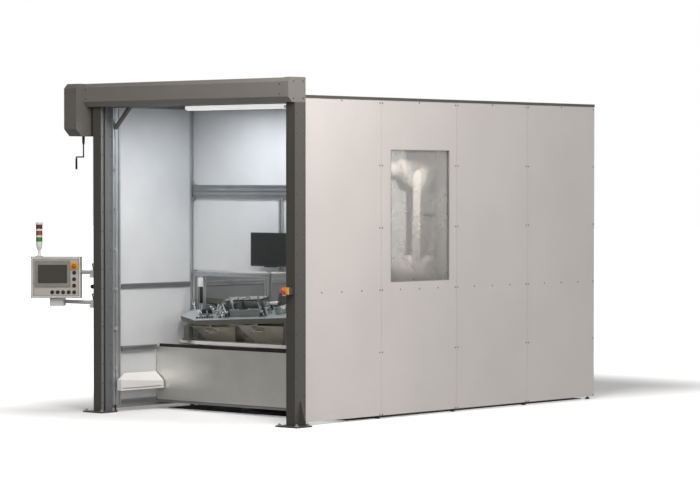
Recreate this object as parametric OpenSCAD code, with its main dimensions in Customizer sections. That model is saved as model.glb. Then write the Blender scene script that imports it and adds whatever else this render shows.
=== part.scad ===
// Robotic laser cell: a closed machine house with a roller door, an operator
// panel on a swing arm, a two-station turntable with inclined tops, and a
// six-axis robot with a laser head behind a fixed partition.
// Frame: origin on the floor at the turntable's axis, +X to the operator's right,
// +Y into the cell away from the operator, +Z up. Millimetres.

/* [House] */
// Width over the two door columns
cell_w = 2393; // [2300:1:2600]
// Width of one wall panel along the cell
panel_pitch = 1000; // [950:1:1100]
// Top of the wall panels above the floor
wall_h = 2700; // [2600:1:2900]
// Gap between the floor and the wall panels
wall_gap = 28; // [15:1:50]
// How far the walls stand in from the outer faces of the door columns
wall_inset = 49; // [30:1:70]
// Thickness of a wall panel
panel_t = 20; // [12:1:30]
// Joint between two wall panels
panel_joint = 3; // [1:0.5:5]
// Height of the cap rail on the walls
cap_h = 24; // [15:1:40]
// Thickness of the white inner lining sheets
lining_t = 4; // [2:1:8]
// Width of the framing profile
profile = 45; // [40:1:50]
// Thickness of the roof panels
roof_t = 24; // [15:1:30]

/* [Window] */
// Distance from the panel's front edge to the window opening
window_margin = 123; // [60:1:200]
// Width of the window opening
window_w = 779; // [500:1:820]
// Height of the window opening's lower edge
window_z = 1156; // [1130:1:1300]
// Height of the window opening
window_h = 1127; // [700:1:1250]
// Thickness of the laser safety pane
pane_t = 6; // [4:1:10]

/* [Door] */
// Width of a door column
col_w = 98; // [80:1:130]
// Depth of a door column
col_d = 130; // [110:1:160]
// Width of the slot that guides the curtain
slot_w = 14; // [10:1:20]
// Depth of the guide slot into the column
slot_d = 32; // [20:1:45]
// Distance from the column's front to the slot
slot_y = 36; // [25:1:45]
// Height of the header cover
header_h = 201; // [190:1:240]
// How far the header stands proud of the columns
header_proud = 75; // [74:1:110]
// Chamfer of the header's upper front edge
header_bevel_top = 34; // [20:1:45]
// Chamfer of the header's lower front edge
header_bevel_low = 44; // [25:1:55]
// Sheet thickness of the header cover and the drive housing
sheet_t = 3; // [2:0.5:5]
// Thickness of the curtain
curtain_t = 3; // [2:0.5:5]
// Height of the stiff bottom bar of the curtain
bar_h = 60; // [50:1:80]
// Thickness of the bottom bar
bar_t = 24; // [18:1:30]
// Diameter of the curtain drum
drum_d = 110; // [90:1:112]

/* [Drive housing] */
// Width of the drive housing beside the header
drive_w = 154; // [120:1:200]
// Height of the drive housing
drive_h = 455; // [400:1:520]
// Depth of the drive housing
drive_d = 290; // [250:1:320]
// Chamfer of the drive housing's front edges
drive_bevel = 62; // [40:1:80]
// Length of the emergency crank's shaft
crank_len = 180; // [140:1:240]
// Offset of the crank's handle
crank_throw = 91; // [60:1:120]

/* [Operator panel] */
// Width of the operator panel
hmi_w = 440; // [400:1:520]
// Height of the operator panel
hmi_h = 362; // [320:1:420]
// Depth of the operator panel
hmi_d = 90; // [70:1:120]
// Height of the operator panel's lower edge
hmi_z = 992; // [950:1:1100]
// Reach of the arm from its hinge to the panel
arm_reach = 340; // [320:1:450]
// Turn of the panel towards the operator, in degrees
hmi_turn = 41; // [20:1:50]
// Diameter of the arm's tubes
tube_d = 34; // [28:1:42]
// Diameter of a push button
button_d = 30; // [22:1:34]
// Spacing of the push buttons
button_pitch = 48; // [44:1:52]
// Diameter of the signal tower
tower_d = 59; // [50:1:70]
// Height of one light of the signal tower
tier_h = 38; // [30:1:45]

/* [Turntable] */
// Half the span of the table over its outer tips
table_reach = 1024; // [950:1:1040]
// Distance from the axis to the front edge of the table
table_y = 395; // [370:1:410]
// Half the length of the straight front edge
table_edge = 682; // [600:1:720]
// Top of the turning platform above the floor
platform_z = 612; // [590:1:640]
// Thickness of the platform
platform_t = 30; // [20:1:40]
// Thickness of an inclined table top
top_t = 45; // [30:1:55]
// Height of the inclined top's front edge at the middle
top_z = 826; // [810:1:860]
// Forward inclination of the table top, in degrees
top_pitch = 16; // [8:1:18]
// Sideways inclination of the table top, in degrees
top_roll = 3; // [0:0.5:4]
// Width of the two wide trays
tray_w = 545; // [480:1:552]
// Height of the frame that divides the two stations
divider_z = 1205; // [1150:1:1210]

/* [Robot] */
// Distance from the turntable's axis to the robot's base axis
robot_y = 1900; // [1850:1:1980]
// Height of the robot's pedestal
pedestal_h = 560; // [500:1:620]
// Height of the shoulder axis above the floor
shoulder_z = 1199; // [1170:1:1260]
// Length of the lower arm
lower_arm = 830; // [790:1:850]
// Length of the forearm from the elbow to the wrist
fore_arm = 760; // [720:1:780]

/* [Hidden] */
$fn = 48;
eps = 0.01;
// running clearance of turning parts and the gap kept between moving bodies
run = 0.05;
gap = 0.3;
PANELS = 4;
half_w = cell_w / 2;
front_y = -(col_d + panel_pitch);
wall_y0 = -panel_pitch;
back_y = (PANELS - 1) * panel_pitch;
wall_x = half_w - wall_inset;
frame_x = wall_x - panel_t;
inner_x = frame_x - profile;
foot_h = 60;
base_rail_z = foot_h;
mid_rail_z = 1072;
top_rail_z = wall_h - profile;
front_post_d = 2 * profile;
lining_x = inner_x + 10;
// places of the wall posts along the cell
function post_y(k) = k == 0 ? wall_y0 + front_post_d / 2
    : k == PANELS ? back_y - panel_t - profile / 2 : wall_y0 + k * panel_pitch;
function post_half(k) = k < 2 ? front_post_d / 2 : profile / 2;
rear_post_x = 360;

// fixed partition between the operator's bay and the process bay
partition_mid = 1866;
partition_band = 116;
partition_low = divider_z + 17;
skirt_y = -464;
skirt_top = 551;

// sloping cover: its front end, the start of its full width and its rear end
cover_y = [wall_y0 + 2, wall_y0 + 135, skirt_y - 18];
cover_x = inner_x - 98;
cover_nose = 52;
cover_low = 190;
cover_lip = 252;
cover_back = 333;

// ceiling lamp and monitor
lamp_half = 594;
lamp_y = -610;
lamp_d = 80;
lamp_drop = 42;
monitor_half = 236;
monitor_y = -124;
monitor_t = 26;
monitor_z = 1274;
monitor_h = 293;
swivel_y = -84;
swivel_d = 28;

// header and door
header_z = wall_h - 39;
header_top = header_z + header_h;
cap_w = 72;
header_x0 = -half_w - 43;
header_x1 = half_w - cap_w;
slot_mid = front_y + slot_y + slot_w / 2;
door_half = half_w - col_w;
bar_z = header_z + 7;
shaft_d = 30;
drum_y = slot_mid - curtain_t / 2 - gap - drum_d / 2;
drum_z = header_z + header_h / 2 + 8;
drum_half = door_half - 8;
plate_t = 12;
plate_w = 240;
plate_d = 188;
plate_out = 75;
anchor_dx = 95;
anchor_dy = 70;
anchor_d = 18;
estop_box_z = 1118;
stop_w = 62;
stop_d = 66;
stop_h = 58;
knob_z = 1093;

// drive housing
drive_x1 = header_x0;
drive_x0 = drive_x1 - drive_w;
drive_y0 = front_y + col_d - drive_d;
drive_z = header_top - drive_h;
crank_x = drive_x0 + 75;
crank_y = front_y;
crank_d = 14;

// operator panel
hinge_x = -half_w - 30;
hinge_y = front_y + 25;
pin_d = 14;
// the lead leaves the hollow pin and bends over into the column
lead_d = 7;
lead_r = (-half_w - lead_d / 2 - hinge_x) / 2;
panel_x = hinge_x - 276;
panel_y = hinge_y - 185;
arm_z = [956, 1219];
bracket_w = 121;
bracket_h = 68;
bracket_back = 230;
display_w = 312;
display_h = 230;
// a point where an arm tube, running along -X, meets a face at panel coordinate px
function tube_end(px) = panel_x + (px - (hinge_y - panel_y) * sin(hmi_turn)) / cos(hmi_turn);
button_x = hmi_w / 2 - 61;
button_z = 52;
stem_d = 22;
button_rows = [for (i = [0:4]) [button_x - i * button_pitch, button_z],
               for (j = [1:3]) [button_x, button_z + j * (button_pitch + 9)]];
estop_z = button_z + 4 * (button_pitch + 9) + 2;
tower_x = -hmi_w / 2 + 69;
tower_y = 45;
tower_neck = 56;
tower_bell = 70;
ring_h = 18;

// turntable
platform_bot = platform_z - platform_t;
tip_y = 232;
top_depth = 332;
top_outline = [[-table_edge, 0], [table_edge, 0], [table_reach - 8, 162], [table_reach - 8, top_depth],
               [8 - table_reach, top_depth], [8 - table_reach, 162]];
// height of the inclined top's underside above a point of the front station
function under_z(x, y) = top_z - top_t / (cos(top_pitch) * cos(top_roll)) + x * tan(top_roll)
    + (y + table_y) * tan(top_pitch) / cos(top_roll);
leg_w = 60;
leg_x = table_reach - 221;
leg_y = 43 - table_y;
// two wide trays stand beside the left leg, and a narrow one fills the bay at the right
tray_gap = 23;
tray_x0 = leg_w / 2 + 13 - leg_x;
mid_leg_x = tray_x0 + 2 * tray_w + tray_gap + 20 + leg_w / 2;
legs = [[-leg_x, leg_y], [mid_leg_x, leg_y], [leg_x, leg_y], [-leg_x - 47, -120], [leg_x + 47, -120]];
tray_x = [tray_x0 + tray_w / 2, tray_x0 + tray_gap + tray_w * 3 / 2, (mid_leg_x + leg_x) / 2];
tray_ws = [tray_w, tray_w, leg_x - mid_leg_x - leg_w - 10];
tray_y0 = 23 - table_y;
cup_x = -27;
cup_w = 134;
cup_h = 30;
cup_d = 76;
tray_d = 255;
tray_t = 3;
function tray_top(i) = under_z(tray_x[i] - tray_ws[i] / 2, tray_y0) - 6;
divider_x = [-1000, -189];
divider_tip = -1045;
lintel_h = 36;
switch_box = [40, 38, 77];
switch_x = divider_x[0] + 25;
switch_z = divider_z - 131;

// robot
turret_z = 800;
shoulder_y = robot_y - 150;
elbow_z = shoulder_z + lower_arm;
arm_x = 105;
wrist_y = shoulder_y - fore_arm;

cream = "#dcd8d3";
dark = "#55534f";
alu = "#a9adb0";
white = "#e9eae8";
steel = "#8f9598";

// ---- helpers -------------------------------------------------------------

// an outline of (y, z) points drawn out along +X
module along_x(x0, length) {
    translate([x0, 0, 0]) rotate([90, 0, 90]) linear_extrude(length) children();
}

// an outline of (x, z) points drawn out along +Y
module along_y(y0, length) {
    translate([0, y0 + length, 0]) rotate([90, 0, 0]) linear_extrude(length) children();
}

// a box from its low corner to its high corner
module block(low, high) {
    translate(low) cube(high - low);
}

// one T-groove of a framing profile, mouth at the origin, depth along +Y
module groove() {
    translate([-4, -eps]) square([8, 7 + eps]);
    translate([-9, 5]) square([18, 6]);
}

// section of a framing profile with grooves every profile width
module profile_section(w, d) {
    nx = max(1, round(w / profile));
    ny = max(1, round(d / profile));
    difference() {
        square([w, d]);
        for (i = [0:nx - 1]) {
            translate([w * (i + 0.5) / nx, 0]) groove();
            translate([w * (i + 0.5) / nx, d]) mirror([0, 1]) groove();
        }
        for (j = [0:ny - 1]) {
            translate([0, d * (j + 0.5) / ny]) rotate(-90) groove();
            translate([w, d * (j + 0.5) / ny]) rotate(90) groove();
        }
    }
}

// an upright profile with its low corner at (x, y)
module upright(x, y, z0, z1, w = profile, d = profile) {
    translate([x, y, z0]) linear_extrude(z1 - z0) profile_section(w, d);
}

// a profile along X between x0 and x1
module rail_x(x0, x1, y, z, d = profile, h = profile) {
    along_x(x0, x1 - x0) translate([y, z]) profile_section(d, h);
}

// a profile along Y between y0 and y1
module rail_y(y0, y1, x, z, w = profile, h = profile) {
    along_y(y0, y1 - y0) translate([x, z]) profile_section(w, h);
}

// both side walls from one half
module both_sides() {
    children();
    mirror([1, 0, 0]) children();
}

// the front station and, turned half a turn, the rear one
module both_stations() {
    children();
    rotate([0, 0, 180]) children();
}

// the inclined top's own frame: origin on its front edge, +Y up the slope
module on_top() {
    translate([0, -table_y, top_z]) rotate([top_pitch, -top_roll, 0]) children();
}

// the operator panel's own frame: origin on the front face, x across, +Y to the back
module in_panel() {
    translate([panel_x, panel_y, hmi_z]) rotate([0, 0, hmi_turn]) children();
}

// a plain shaft with its axis along X, centred
module bar_along_x(d, length) {
    rotate([0, 90, 0]) cylinder(d = d, h = length, center = true);
}

// ---- door ----------------------------------------------------------------

// hollow column with the slot that guides the curtain's edge
module column_section() {
    wall = 4;
    rib = slot_y + slot_w + wall;
    difference() {
        square([col_w, col_d]);
        translate([wall, wall]) square([col_w - slot_d - 2 * wall, col_d - 2 * wall]);
        translate([col_w - slot_d - wall - eps, rib]) square([slot_d + eps, col_d - rib - wall]);
        translate([col_w - slot_d - wall - eps, wall]) square([slot_d + eps, slot_y - 2 * wall]);
        translate([col_w - slot_d, slot_y]) square([slot_d + 1, slot_w]);
    }
}

module door_column_left() {
    color(dark) translate([-half_w, front_y, plate_t]) linear_extrude(header_z - plate_t) column_section();
}

module door_column_right() {
    mirror([1, 0, 0]) door_column_left();
}

// foot plate with four anchor holes
module foot_plate() {
    cx = -half_w - plate_out + plate_w / 2;
    cy = front_y + col_d - 2 - plate_d / 2;
    difference() {
        block([cx - plate_w / 2, cy - plate_d / 2, 0], [cx + plate_w / 2, cy + plate_d / 2, plate_t]);
        for (sx = [-1, 1], sy = [-1, 1])
            translate([cx + sx * anchor_dx, cy + sy * anchor_dy, -1])
                cylinder(d = anchor_d, h = plate_t + 2);
    }
}

// both foot plates, and the stiffening gusset on the right column
module anchor_plates() {
    color(dark) {
        both_sides() foot_plate();
        along_y(front_y + col_d / 2, 10)
            polygon([[half_w, plate_t - eps], [half_w + 60, plate_t - eps], [half_w + 60, plate_t + 12],
                     [half_w + 8, 205], [half_w, 205]]);
    }
}

// outline of the header, taken in by t all round
function header_outline(t) = [
    [front_y - header_proud + t, header_z + header_bevel_low + t * 0.4],
    [front_y - header_proud + t, header_top - header_bevel_top - t * 0.4],
    [front_y - header_proud + header_bevel_top + t * 0.4, header_top - t],
    [front_y + col_d - t, header_top - t],
    [front_y + col_d - t, header_z + t],
    [front_y - header_proud + header_bevel_low + t * 0.4, header_z + t]];

module header_cover() {
    color(dark) difference() {
        along_x(header_x0, header_x1 - header_x0) polygon(header_outline(0));
        along_x(header_x0 - 1, header_x1 - header_x0 + 2) polygon(header_outline(sheet_t));
        block([-door_half - slot_d, slot_mid - 18, header_z - 1],
              [door_half + slot_d, slot_mid + 18, header_z + sheet_t + 1]);
    }
}

// the cast end cap carries the drum's right bearing
module header_end_cap() {
    color(dark) difference() {
        along_x(header_x1, cap_w) polygon(header_outline(-4));
        along_x(header_x1 - 1, cap_w - 13) polygon(header_outline(sheet_t));
        translate([header_x1 + cap_w - 15, drum_y, drum_z]) rotate([0, 90, 0])
            cylinder(d = shaft_d + 2 * run, h = 9);
        block([header_x1 - 1, front_y - header_proud - 10, header_z - 10],
              [half_w + 1, front_y + col_d + 10, header_z]);
        block([header_x1 - 1, front_y + col_d, header_z - 1],
              [half_w + 1, front_y + col_d + 10, header_top + 10]);
    }
}

function drive_outline(t) = [
    [drive_y0 + t, drive_z + drive_bevel + t * 0.4], [drive_y0 + t, header_top - 40 - t * 0.4],
    [drive_y0 + 40 + t * 0.4, header_top - t], [front_y + col_d - t, header_top - t],
    [front_y + col_d - t, drive_z + t], [drive_y0 + drive_bevel + t * 0.4, drive_z + t]];

// folded box for the door's gear motor, with bearings for the drum and the crank
module drive_housing() {
    color(dark) difference() {
        union() {
            difference() {
                along_x(drive_x0, drive_w) polygon(drive_outline(0));
                along_x(drive_x0 + sheet_t, drive_w - 2 * sheet_t) polygon(drive_outline(sheet_t));
            }
            translate([crank_x, crank_y, drive_z + eps]) cylinder(d = 40, h = 40);
            translate([drive_x1 - 40, drum_y, drum_z]) rotate([0, 90, 0]) cylinder(d = 60, h = 40 - eps);
        }
        translate([crank_x, crank_y, drive_z - 1]) cylinder(d = crank_d + 2 * run, h = 60);
        translate([drive_x1 - 60, drum_y, drum_z]) rotate([0, 90, 0])
            cylinder(d = shaft_d + 2 * run, h = 70);
    }
}

// curtain wound on its drum, with the shaft ends in their bearings
module curtain_drum() {
    color("gainsboro") translate([0, drum_y, drum_z]) {
        bar_along_x(drum_d, 2 * drum_half);
        translate([-(half_w + 43 + 38), 0, 0]) rotate([0, 90, 0])
            cylinder(d = shaft_d, h = half_w + 43 + 38 + header_x1 + cap_w - 8);
    }
}

// stiff bottom bar: its tongues run in the column slots
module door_bar() {
    color(alu) difference() {
        union() {
            block([-door_half + 5, slot_mid - bar_t / 2, bar_z],
                  [door_half - 5, slot_mid + bar_t / 2, bar_z + bar_h]);
            block([-door_half - slot_d + 8, slot_mid - slot_w / 2 + 3, bar_z + 4],
                  [door_half + slot_d - 8, slot_mid + slot_w / 2 - 3, bar_z + bar_h - 4]);
        }
        for (s = [-1, 1])
            along_x(-door_half + 4, 2 * door_half - 8) translate([slot_mid + s * bar_t / 2, bar_z + 30])
                square([8, 12], center = true);
    }
}

// the stretch of curtain between the drum and the bottom bar
module door_curtain() {
    color("gainsboro") block([-door_half + 8, slot_mid - curtain_t / 2, bar_z + bar_h],
                             [door_half - 8, slot_mid + curtain_t / 2, drum_z]);
}

module hand_crank() {
    color("#2e2e2c") translate([crank_x, crank_y, 0]) {
        translate([0, 0, drive_z - 30]) cylinder(d = crank_d, h = 66);
        translate([0, 0, drive_z - 74]) cylinder(d1 = 12, d2 = 24, h = 22);
        translate([0, 0, drive_z - 53]) cylinder(d = 24, h = 52.5);
        translate([0, 0, drive_z - crank_len]) cylinder(d = 12, h = crank_len - 60);
        translate([0, 0, drive_z - crank_len]) sphere(d = 12);
        translate([-crank_throw, 0, drive_z - crank_len]) rotate([0, 90, 0])
            cylinder(d = 12, h = crank_throw);
        translate([-crank_throw, 0, drive_z - crank_len]) sphere(d = 12);
        translate([-crank_throw, 0, drive_z - crank_len - 108]) cylinder(d = 18, h = 94);
        translate([-crank_throw, 0, drive_z - crank_len - 20]) cylinder(d = 12, h = 20);
    }
}

module door_knob() {
    color("#262624") translate([-half_w - gap, front_y + 62, knob_z]) rotate([0, -90, 0]) rotate_extrude()
        polygon([[0, 0], [11, 0], [11, 16], [18.5, 22], [18.5, 42], [14, 49], [0, 50]]);
}

module column_estop_box() {
    color("gold") translate([half_w - col_w / 2, front_y, estop_box_z]) difference() {
        union() {
            block([-stop_w / 2, -stop_d, -stop_h / 2], [stop_w / 2, 0, stop_h / 2]);
            translate([0, -stop_d + eps, 0]) rotate([90, 0, 0]) cylinder(d = stop_h - 8, h = 6);
        }
        translate([0, -stop_d + 32, 0]) rotate([90, 0, 0]) cylinder(d = stem_d + 2 * run, h = 50);
    }
}

// mushroom head on its stem, along -Y from the origin
module mushroom(stem) {
    rotate([90, 0, 0]) rotate_extrude()
        polygon([[0, -stem], [stem_d / 2, -stem], [stem_d / 2, 8], [20, 12], [20, 22], [16, 29], [8, 32],
                 [0, 33]]);
}

module column_estop_button() {
    color("crimson") translate([half_w - col_w / 2, front_y - stop_d - 6 - gap, estop_box_z]) mushroom(24);
}

module header_brace() {
    color(dark) along_y(wall_y0 + 12, 40)
        polygon([[-inner_x, top_rail_z - 190], [-inner_x, top_rail_z - 162], [-inner_x + 162, top_rail_z],
                 [-inner_x + 190, top_rail_z]]);
}

module door_clips() {
    color(white) both_sides() for (k = [0:5])
        block([-inner_x, wall_y0 + 6, 372 + k * 346], [-inner_x + 24, wall_y0 + 34, 396 + k * 346]);
}

// ---- house ---------------------------------------------------------------

module window_cut() {
    block([wall_x - panel_t - 1, window_margin, window_z],
          [wall_x + 1, window_margin + window_w, window_z + window_h]);
    block([frame_x - 1, window_margin - 10, window_z - 10],
          [frame_x + pane_t, window_margin + window_w + 10, window_z + window_h + 10]);
}

// wall panel number i with a narrow joint to the next one
module side_panel(i) {
    y0 = wall_y0 + (i - 1) * panel_pitch;
    block([frame_x, y0 + (i > 1 ? panel_joint / 2 : 0), wall_gap],
          [wall_x, y0 + panel_pitch - (i < PANELS ? panel_joint / 2 : 0), wall_h]);
}

module right_wall_panel_1() { color(cream) side_panel(1); }
module right_wall_panel_2() { color(cream) difference() { side_panel(2); window_cut(); } }
module right_wall_panel_3() { color(cream) side_panel(3); }
module right_wall_panel_4() { color(cream) side_panel(4); }

module window_pane() {
    color([0.75, 0.8, 0.82, 0.4]) block([frame_x, window_margin - 9, window_z - 9],
        [frame_x + pane_t, window_margin + window_w + 9, window_z + window_h + 9]);
}

module left_and_rear_panels() {
    color(cream) {
        mirror([1, 0, 0]) for (i = [1:PANELS]) side_panel(i);
        for (s = [0, 1]) mirror([s, 0, 0])
            block([panel_joint / 2, back_y - panel_t, wall_gap], [frame_x - gap, back_y, wall_h]);
    }
}

module roof_panels() {
    color(cream) for (i = [0:PANELS - 1]) {
        front_gap = i > 0 ? panel_joint / 2 : 0;
        rear_gap = i < PANELS - 1 ? panel_joint / 2 : panel_t;
        block([-frame_x, wall_y0 + i * panel_pitch + front_gap, wall_h],
              [frame_x, wall_y0 + (i + 1) * panel_pitch - rear_gap, wall_h + roof_t]);
    }
}

module wall_cap_rails() {
    color(dark) {
        both_sides() block([frame_x, wall_y0, wall_h], [wall_x + 4, back_y, wall_h + cap_h]);
        block([-frame_x, back_y - panel_t, wall_h], [frame_x, back_y + 4, wall_h + cap_h]);
    }
}

// posts of the side walls, the rear wall and the fixed partition
module frame_posts() {
    color(alu) {
        both_sides() {
            for (k = [0:PANELS])
                upright(inner_x, post_y(k) - post_half(k), foot_h, wall_h, profile, 2 * post_half(k));
            upright(rear_post_x - profile / 2, post_y(PANELS) - profile / 2, foot_h, wall_h);
        }
        upright(-profile / 2, -profile / 2, partition_low, partition_mid);
    }
}

module frame_rails() {
    rail_levels = [base_rail_z, mid_rail_z, top_rail_z];
    color(alu) {
        both_sides() {
            for (k = [0:PANELS - 1], z = rail_levels)
                rail_y(post_y(k) + post_half(k), post_y(k + 1) - post_half(k + 1), inner_x, z);
            for (z = rail_levels)
                rail_x(rear_post_x + profile / 2, inner_x, post_y(PANELS) - profile / 2, z);
        }
        for (z = rail_levels)
            rail_x(-rear_post_x + profile / 2, rear_post_x - profile / 2, post_y(PANELS) - profile / 2, z);
        rail_x(-inner_x, inner_x, wall_y0, top_rail_z);
        rail_x(gap - inner_x, inner_x - gap, skirt_y, base_rail_z);
        rail_x(-inner_x, inner_x, -profile / 2, top_rail_z);
        rail_x(-inner_x, inner_x, -profile / 2, partition_mid, profile, partition_band);
        rail_y(post_y(0) + post_half(0), skirt_y - 22, -lining_x, 526, 30, profile);
    }
}

module levelling_feet() {
    places = concat([for (k = [0:PANELS]) [inner_x + profile / 2, post_y(k)]],
                    [[rear_post_x, post_y(PANELS)]]);
    color("#30302e") both_sides() for (p = places) translate([p[0], p[1], 0]) {
        cylinder(d1 = 44, d2 = 36, h = 14);
        cylinder(d = 16, h = foot_h);
    }
}

// inner sheets between the posts and rails, with the window left open on the right
module lining_sheet(y0, y1, z0, z1) {
    block([lining_x, y0, z0], [lining_x + lining_t, y1, z1]);
}

module lining_wall(window) {
    for (k = [0:PANELS - 1]) {
        y0 = post_y(k) + post_half(k);
        y1 = post_y(k + 1) - post_half(k + 1);
        z0 = mid_rail_z + profile;
        lining_sheet(y0, y1, base_rail_z + profile, mid_rail_z);
        if (window && k == 1) {
            w0 = window_margin - 30;
            w1 = min(window_margin + window_w + 30, y1 - 20);
            v0 = z0 + 20;
            v1 = window_z + window_h + 30;
            lining_sheet(y0, y1, z0, v0);
            lining_sheet(y0, y1, v1, top_rail_z);
            lining_sheet(y0, w0, v0 + gap, v1 - gap);
            lining_sheet(w1, y1, v0 + gap, v1 - gap);
        } else {
            lining_sheet(y0, y1, z0, top_rail_z);
        }
    }
}

module wall_linings() {
    rear_y = post_y(PANELS) + profile / 2 - 10;
    color(white) {
        lining_wall(true);
        mirror([1, 0, 0]) lining_wall(false);
        for (z = [[base_rail_z + profile, mid_rail_z], [mid_rail_z + profile, top_rail_z]]) {
            both_sides() block([rear_post_x + profile / 2, rear_y - lining_t, z[0]],
                               [inner_x, rear_y, z[1]]);
            block([-rear_post_x + profile / 2, rear_y - lining_t, z[0]],
                  [rear_post_x - profile / 2, rear_y, z[1]]);
        }
    }
}

module partition_panels() {
    color(white) {
        block([-inner_x, -3, partition_mid + partition_band], [inner_x, 3, top_rail_z]);
        both_sides() block([profile / 2, -3, partition_low], [inner_x, 3, partition_mid]);
    }
}

module skirt_panel() {
    color("#9c9c94") {
        block([-inner_x, skirt_y - 4, 84], [inner_x, skirt_y, skirt_top]);
        block([-inner_x, skirt_y - eps, skirt_top - 4], [inner_x, skirt_y + 24, skirt_top]);
    }
}

// one section of the sloping cover, taken in by t, from its back at x0 to its lip
module cover_section(t, y, x0, back, lip) {
    along_y(y, 1) polygon([[x0, cover_low - t], [-cover_x - t, cover_low - t], [-cover_x - t, lip - t],
                           [x0, back - t]]);
}

// sloping sheet over the rail along the left wall, cut askew at its front end
module cover_body(t) {
    hull() {
        cover_section(t, cover_y[0] + t, -cover_x - cover_nose + t, cover_lip + 30, cover_lip + 30);
        cover_section(t, cover_y[1] + t, -inner_x - t / 2, cover_back, cover_lip + 24);
        cover_section(t, cover_y[2] - 1 - t, -inner_x - t / 2, cover_back, cover_lip);
    }
}

module slope_cover() {
    color(white) difference() {
        cover_body(0);
        cover_body(sheet_t);
        block([-cover_x - 9, cover_y[0] + 15, cover_low + 14],
              [-cover_x + 1, cover_y[2] - 20, cover_low + 23]);
    }
    for (y = [cover_y[1] + 25, cover_y[2] - 80])
        color(white) block([-lining_x, y, cover_back - 40], [7 - inner_x, y + 40, cover_back - 6]);
}

module ceiling_lamp() {
    low = wall_h - lamp_drop;
    color("white") along_y(lamp_y, lamp_d)
        polygon([[-lamp_half, wall_h - 2], [14 - lamp_half, low], [lamp_half - 14, low],
                 [lamp_half, wall_h - 2], [lamp_half, wall_h], [-lamp_half, wall_h]]);
}

module monitor_bracket() {
    mid = monitor_z + monitor_h / 2;
    color(dark) {
        block([-60, -profile / 2 - 8, mid - 60], [60, -profile / 2, mid + 60]);
        block([-14, swivel_y, mid - 14], [14, -profile / 2 - 8 + eps, mid + 14]);
        translate([0, swivel_y, mid - 24]) cylinder(d = swivel_d, h = 48);
    }
}

module monitor() {
    top = monitor_z + monitor_h;
    mid = monitor_z + monitor_h / 2;
    color("#3a3c3b") difference() {
        union() {
            block([-monitor_half, monitor_y - monitor_t, monitor_z], [monitor_half, monitor_y, top]);
            block([-80, monitor_y - 20, monitor_z - 8], [66, monitor_y - 4, monitor_z + 1]);
            for (s = [0, 1]) translate([0, 0, mid]) mirror([0, 0, s]) {
                block([-30, monitor_y - eps, 24 + gap], [30, swivel_y, 40]);
                translate([0, swivel_y, 24 + gap]) cylinder(d = swivel_d + 12, h = 16 - gap);
            }
        }
        block([10 - monitor_half, monitor_y - monitor_t - 1, monitor_z + 14],
              [monitor_half - 10, monitor_y - monitor_t + 2, top - 10]);
    }
}

// ---- operator panel ------------------------------------------------------

// hinge blocks with their pins, and the leads that pass through them
module arm_hinge_blocks() {
    color(white) for (z = arm_z) {
        block([-half_w - 54, hinge_y - 22, z - 46], [-half_w, hinge_y + 22, z - 20 - gap]);
        translate([hinge_x, hinge_y, z - 30]) cylinder(d = pin_d, h = 54);
        translate([hinge_x, hinge_y, z + 24 - eps]) cylinder(d = lead_d, h = 16);
        translate([hinge_x + lead_r, hinge_y, z + 40 - 2 * eps]) rotate([90, 0, 0])
            rotate_extrude(angle = 180) translate([lead_r, 0]) circle(d = lead_d);
    }
}

module panel_arm() {
    color(alu) for (i = [0, 1]) difference() {
        reach = i == 0 ? tube_end(bracket_w / 2) : tube_end(hmi_w / 2) - 22;
        union() {
            translate([hinge_x, hinge_y, arm_z[i] - 20]) cylinder(d = 44, h = 40);
            translate([reach - (i == 0 ? 30 : 0), hinge_y, arm_z[i]]) rotate([0, 90, 0])
                cylinder(d = tube_d, h = hinge_x - reach + (i == 0 ? 30 : 0));
            if (i == 0)
                in_panel() block([-bracket_w / 2, 40, -bracket_h - 3], [bracket_w / 2, bracket_back, -3]);
        }
        translate([hinge_x, hinge_y, arm_z[i] - 30]) cylinder(d = pin_d + 2 * run, h = 60);
        if (i == 1) in_panel() block([-hmi_w / 2, 0, 0], [hmi_w / 2, hmi_d, hmi_h]);
    }
    color("#262624") in_panel() block([-bracket_w / 2 + 8, 48, -3], [bracket_w / 2 - 8, hmi_d - 8, 0]);
}

module panel_cabinet() {
    color("#aaa59c") in_panel() difference() {
        block([-hmi_w / 2, 0, 0], [hmi_w / 2, hmi_d, hmi_h]);
        block([-hmi_w / 2 + 14, -1, 14], [hmi_w / 2 - 14, 3, hmi_h - 14]);
        block([-hmi_w / 2 + 34, -1, hmi_h - 34 - display_h], [-hmi_w / 2 + 34 + display_w, 50, hmi_h - 34]);
        for (p = concat(button_rows, [[button_x, estop_z]]))
            translate([p[0], 60, p[1]]) rotate([90, 0, 0]) cylinder(d = stem_d + 2 * run, h = 70);
    }
}

module panel_display() {
    color("#787870") in_panel() translate([-hmi_w / 2 + 34, -5, hmi_h - 34 - display_h]) difference() {
        block([0, 0, 0], [display_w, 55, display_h]);
        block([28, -1, 32], [display_w - 28, 2, display_h - 36]);
    }
}

module panel_buttons() {
    color("#1c1c1a") in_panel() for (p = button_rows)
        translate([p[0], 3, p[1]]) rotate([90, 0, 0]) rotate_extrude()
            polygon([[0, -47], [stem_d / 2, -47], [stem_d / 2, 0], [button_d / 2, 0], [button_d / 2, 5],
                     [button_d / 2 - 3, 8], [0, 8]]);
}

module panel_estop_button() {
    color("orangered") in_panel() translate([button_x, -6, estop_z]) mushroom(56);
}

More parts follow.
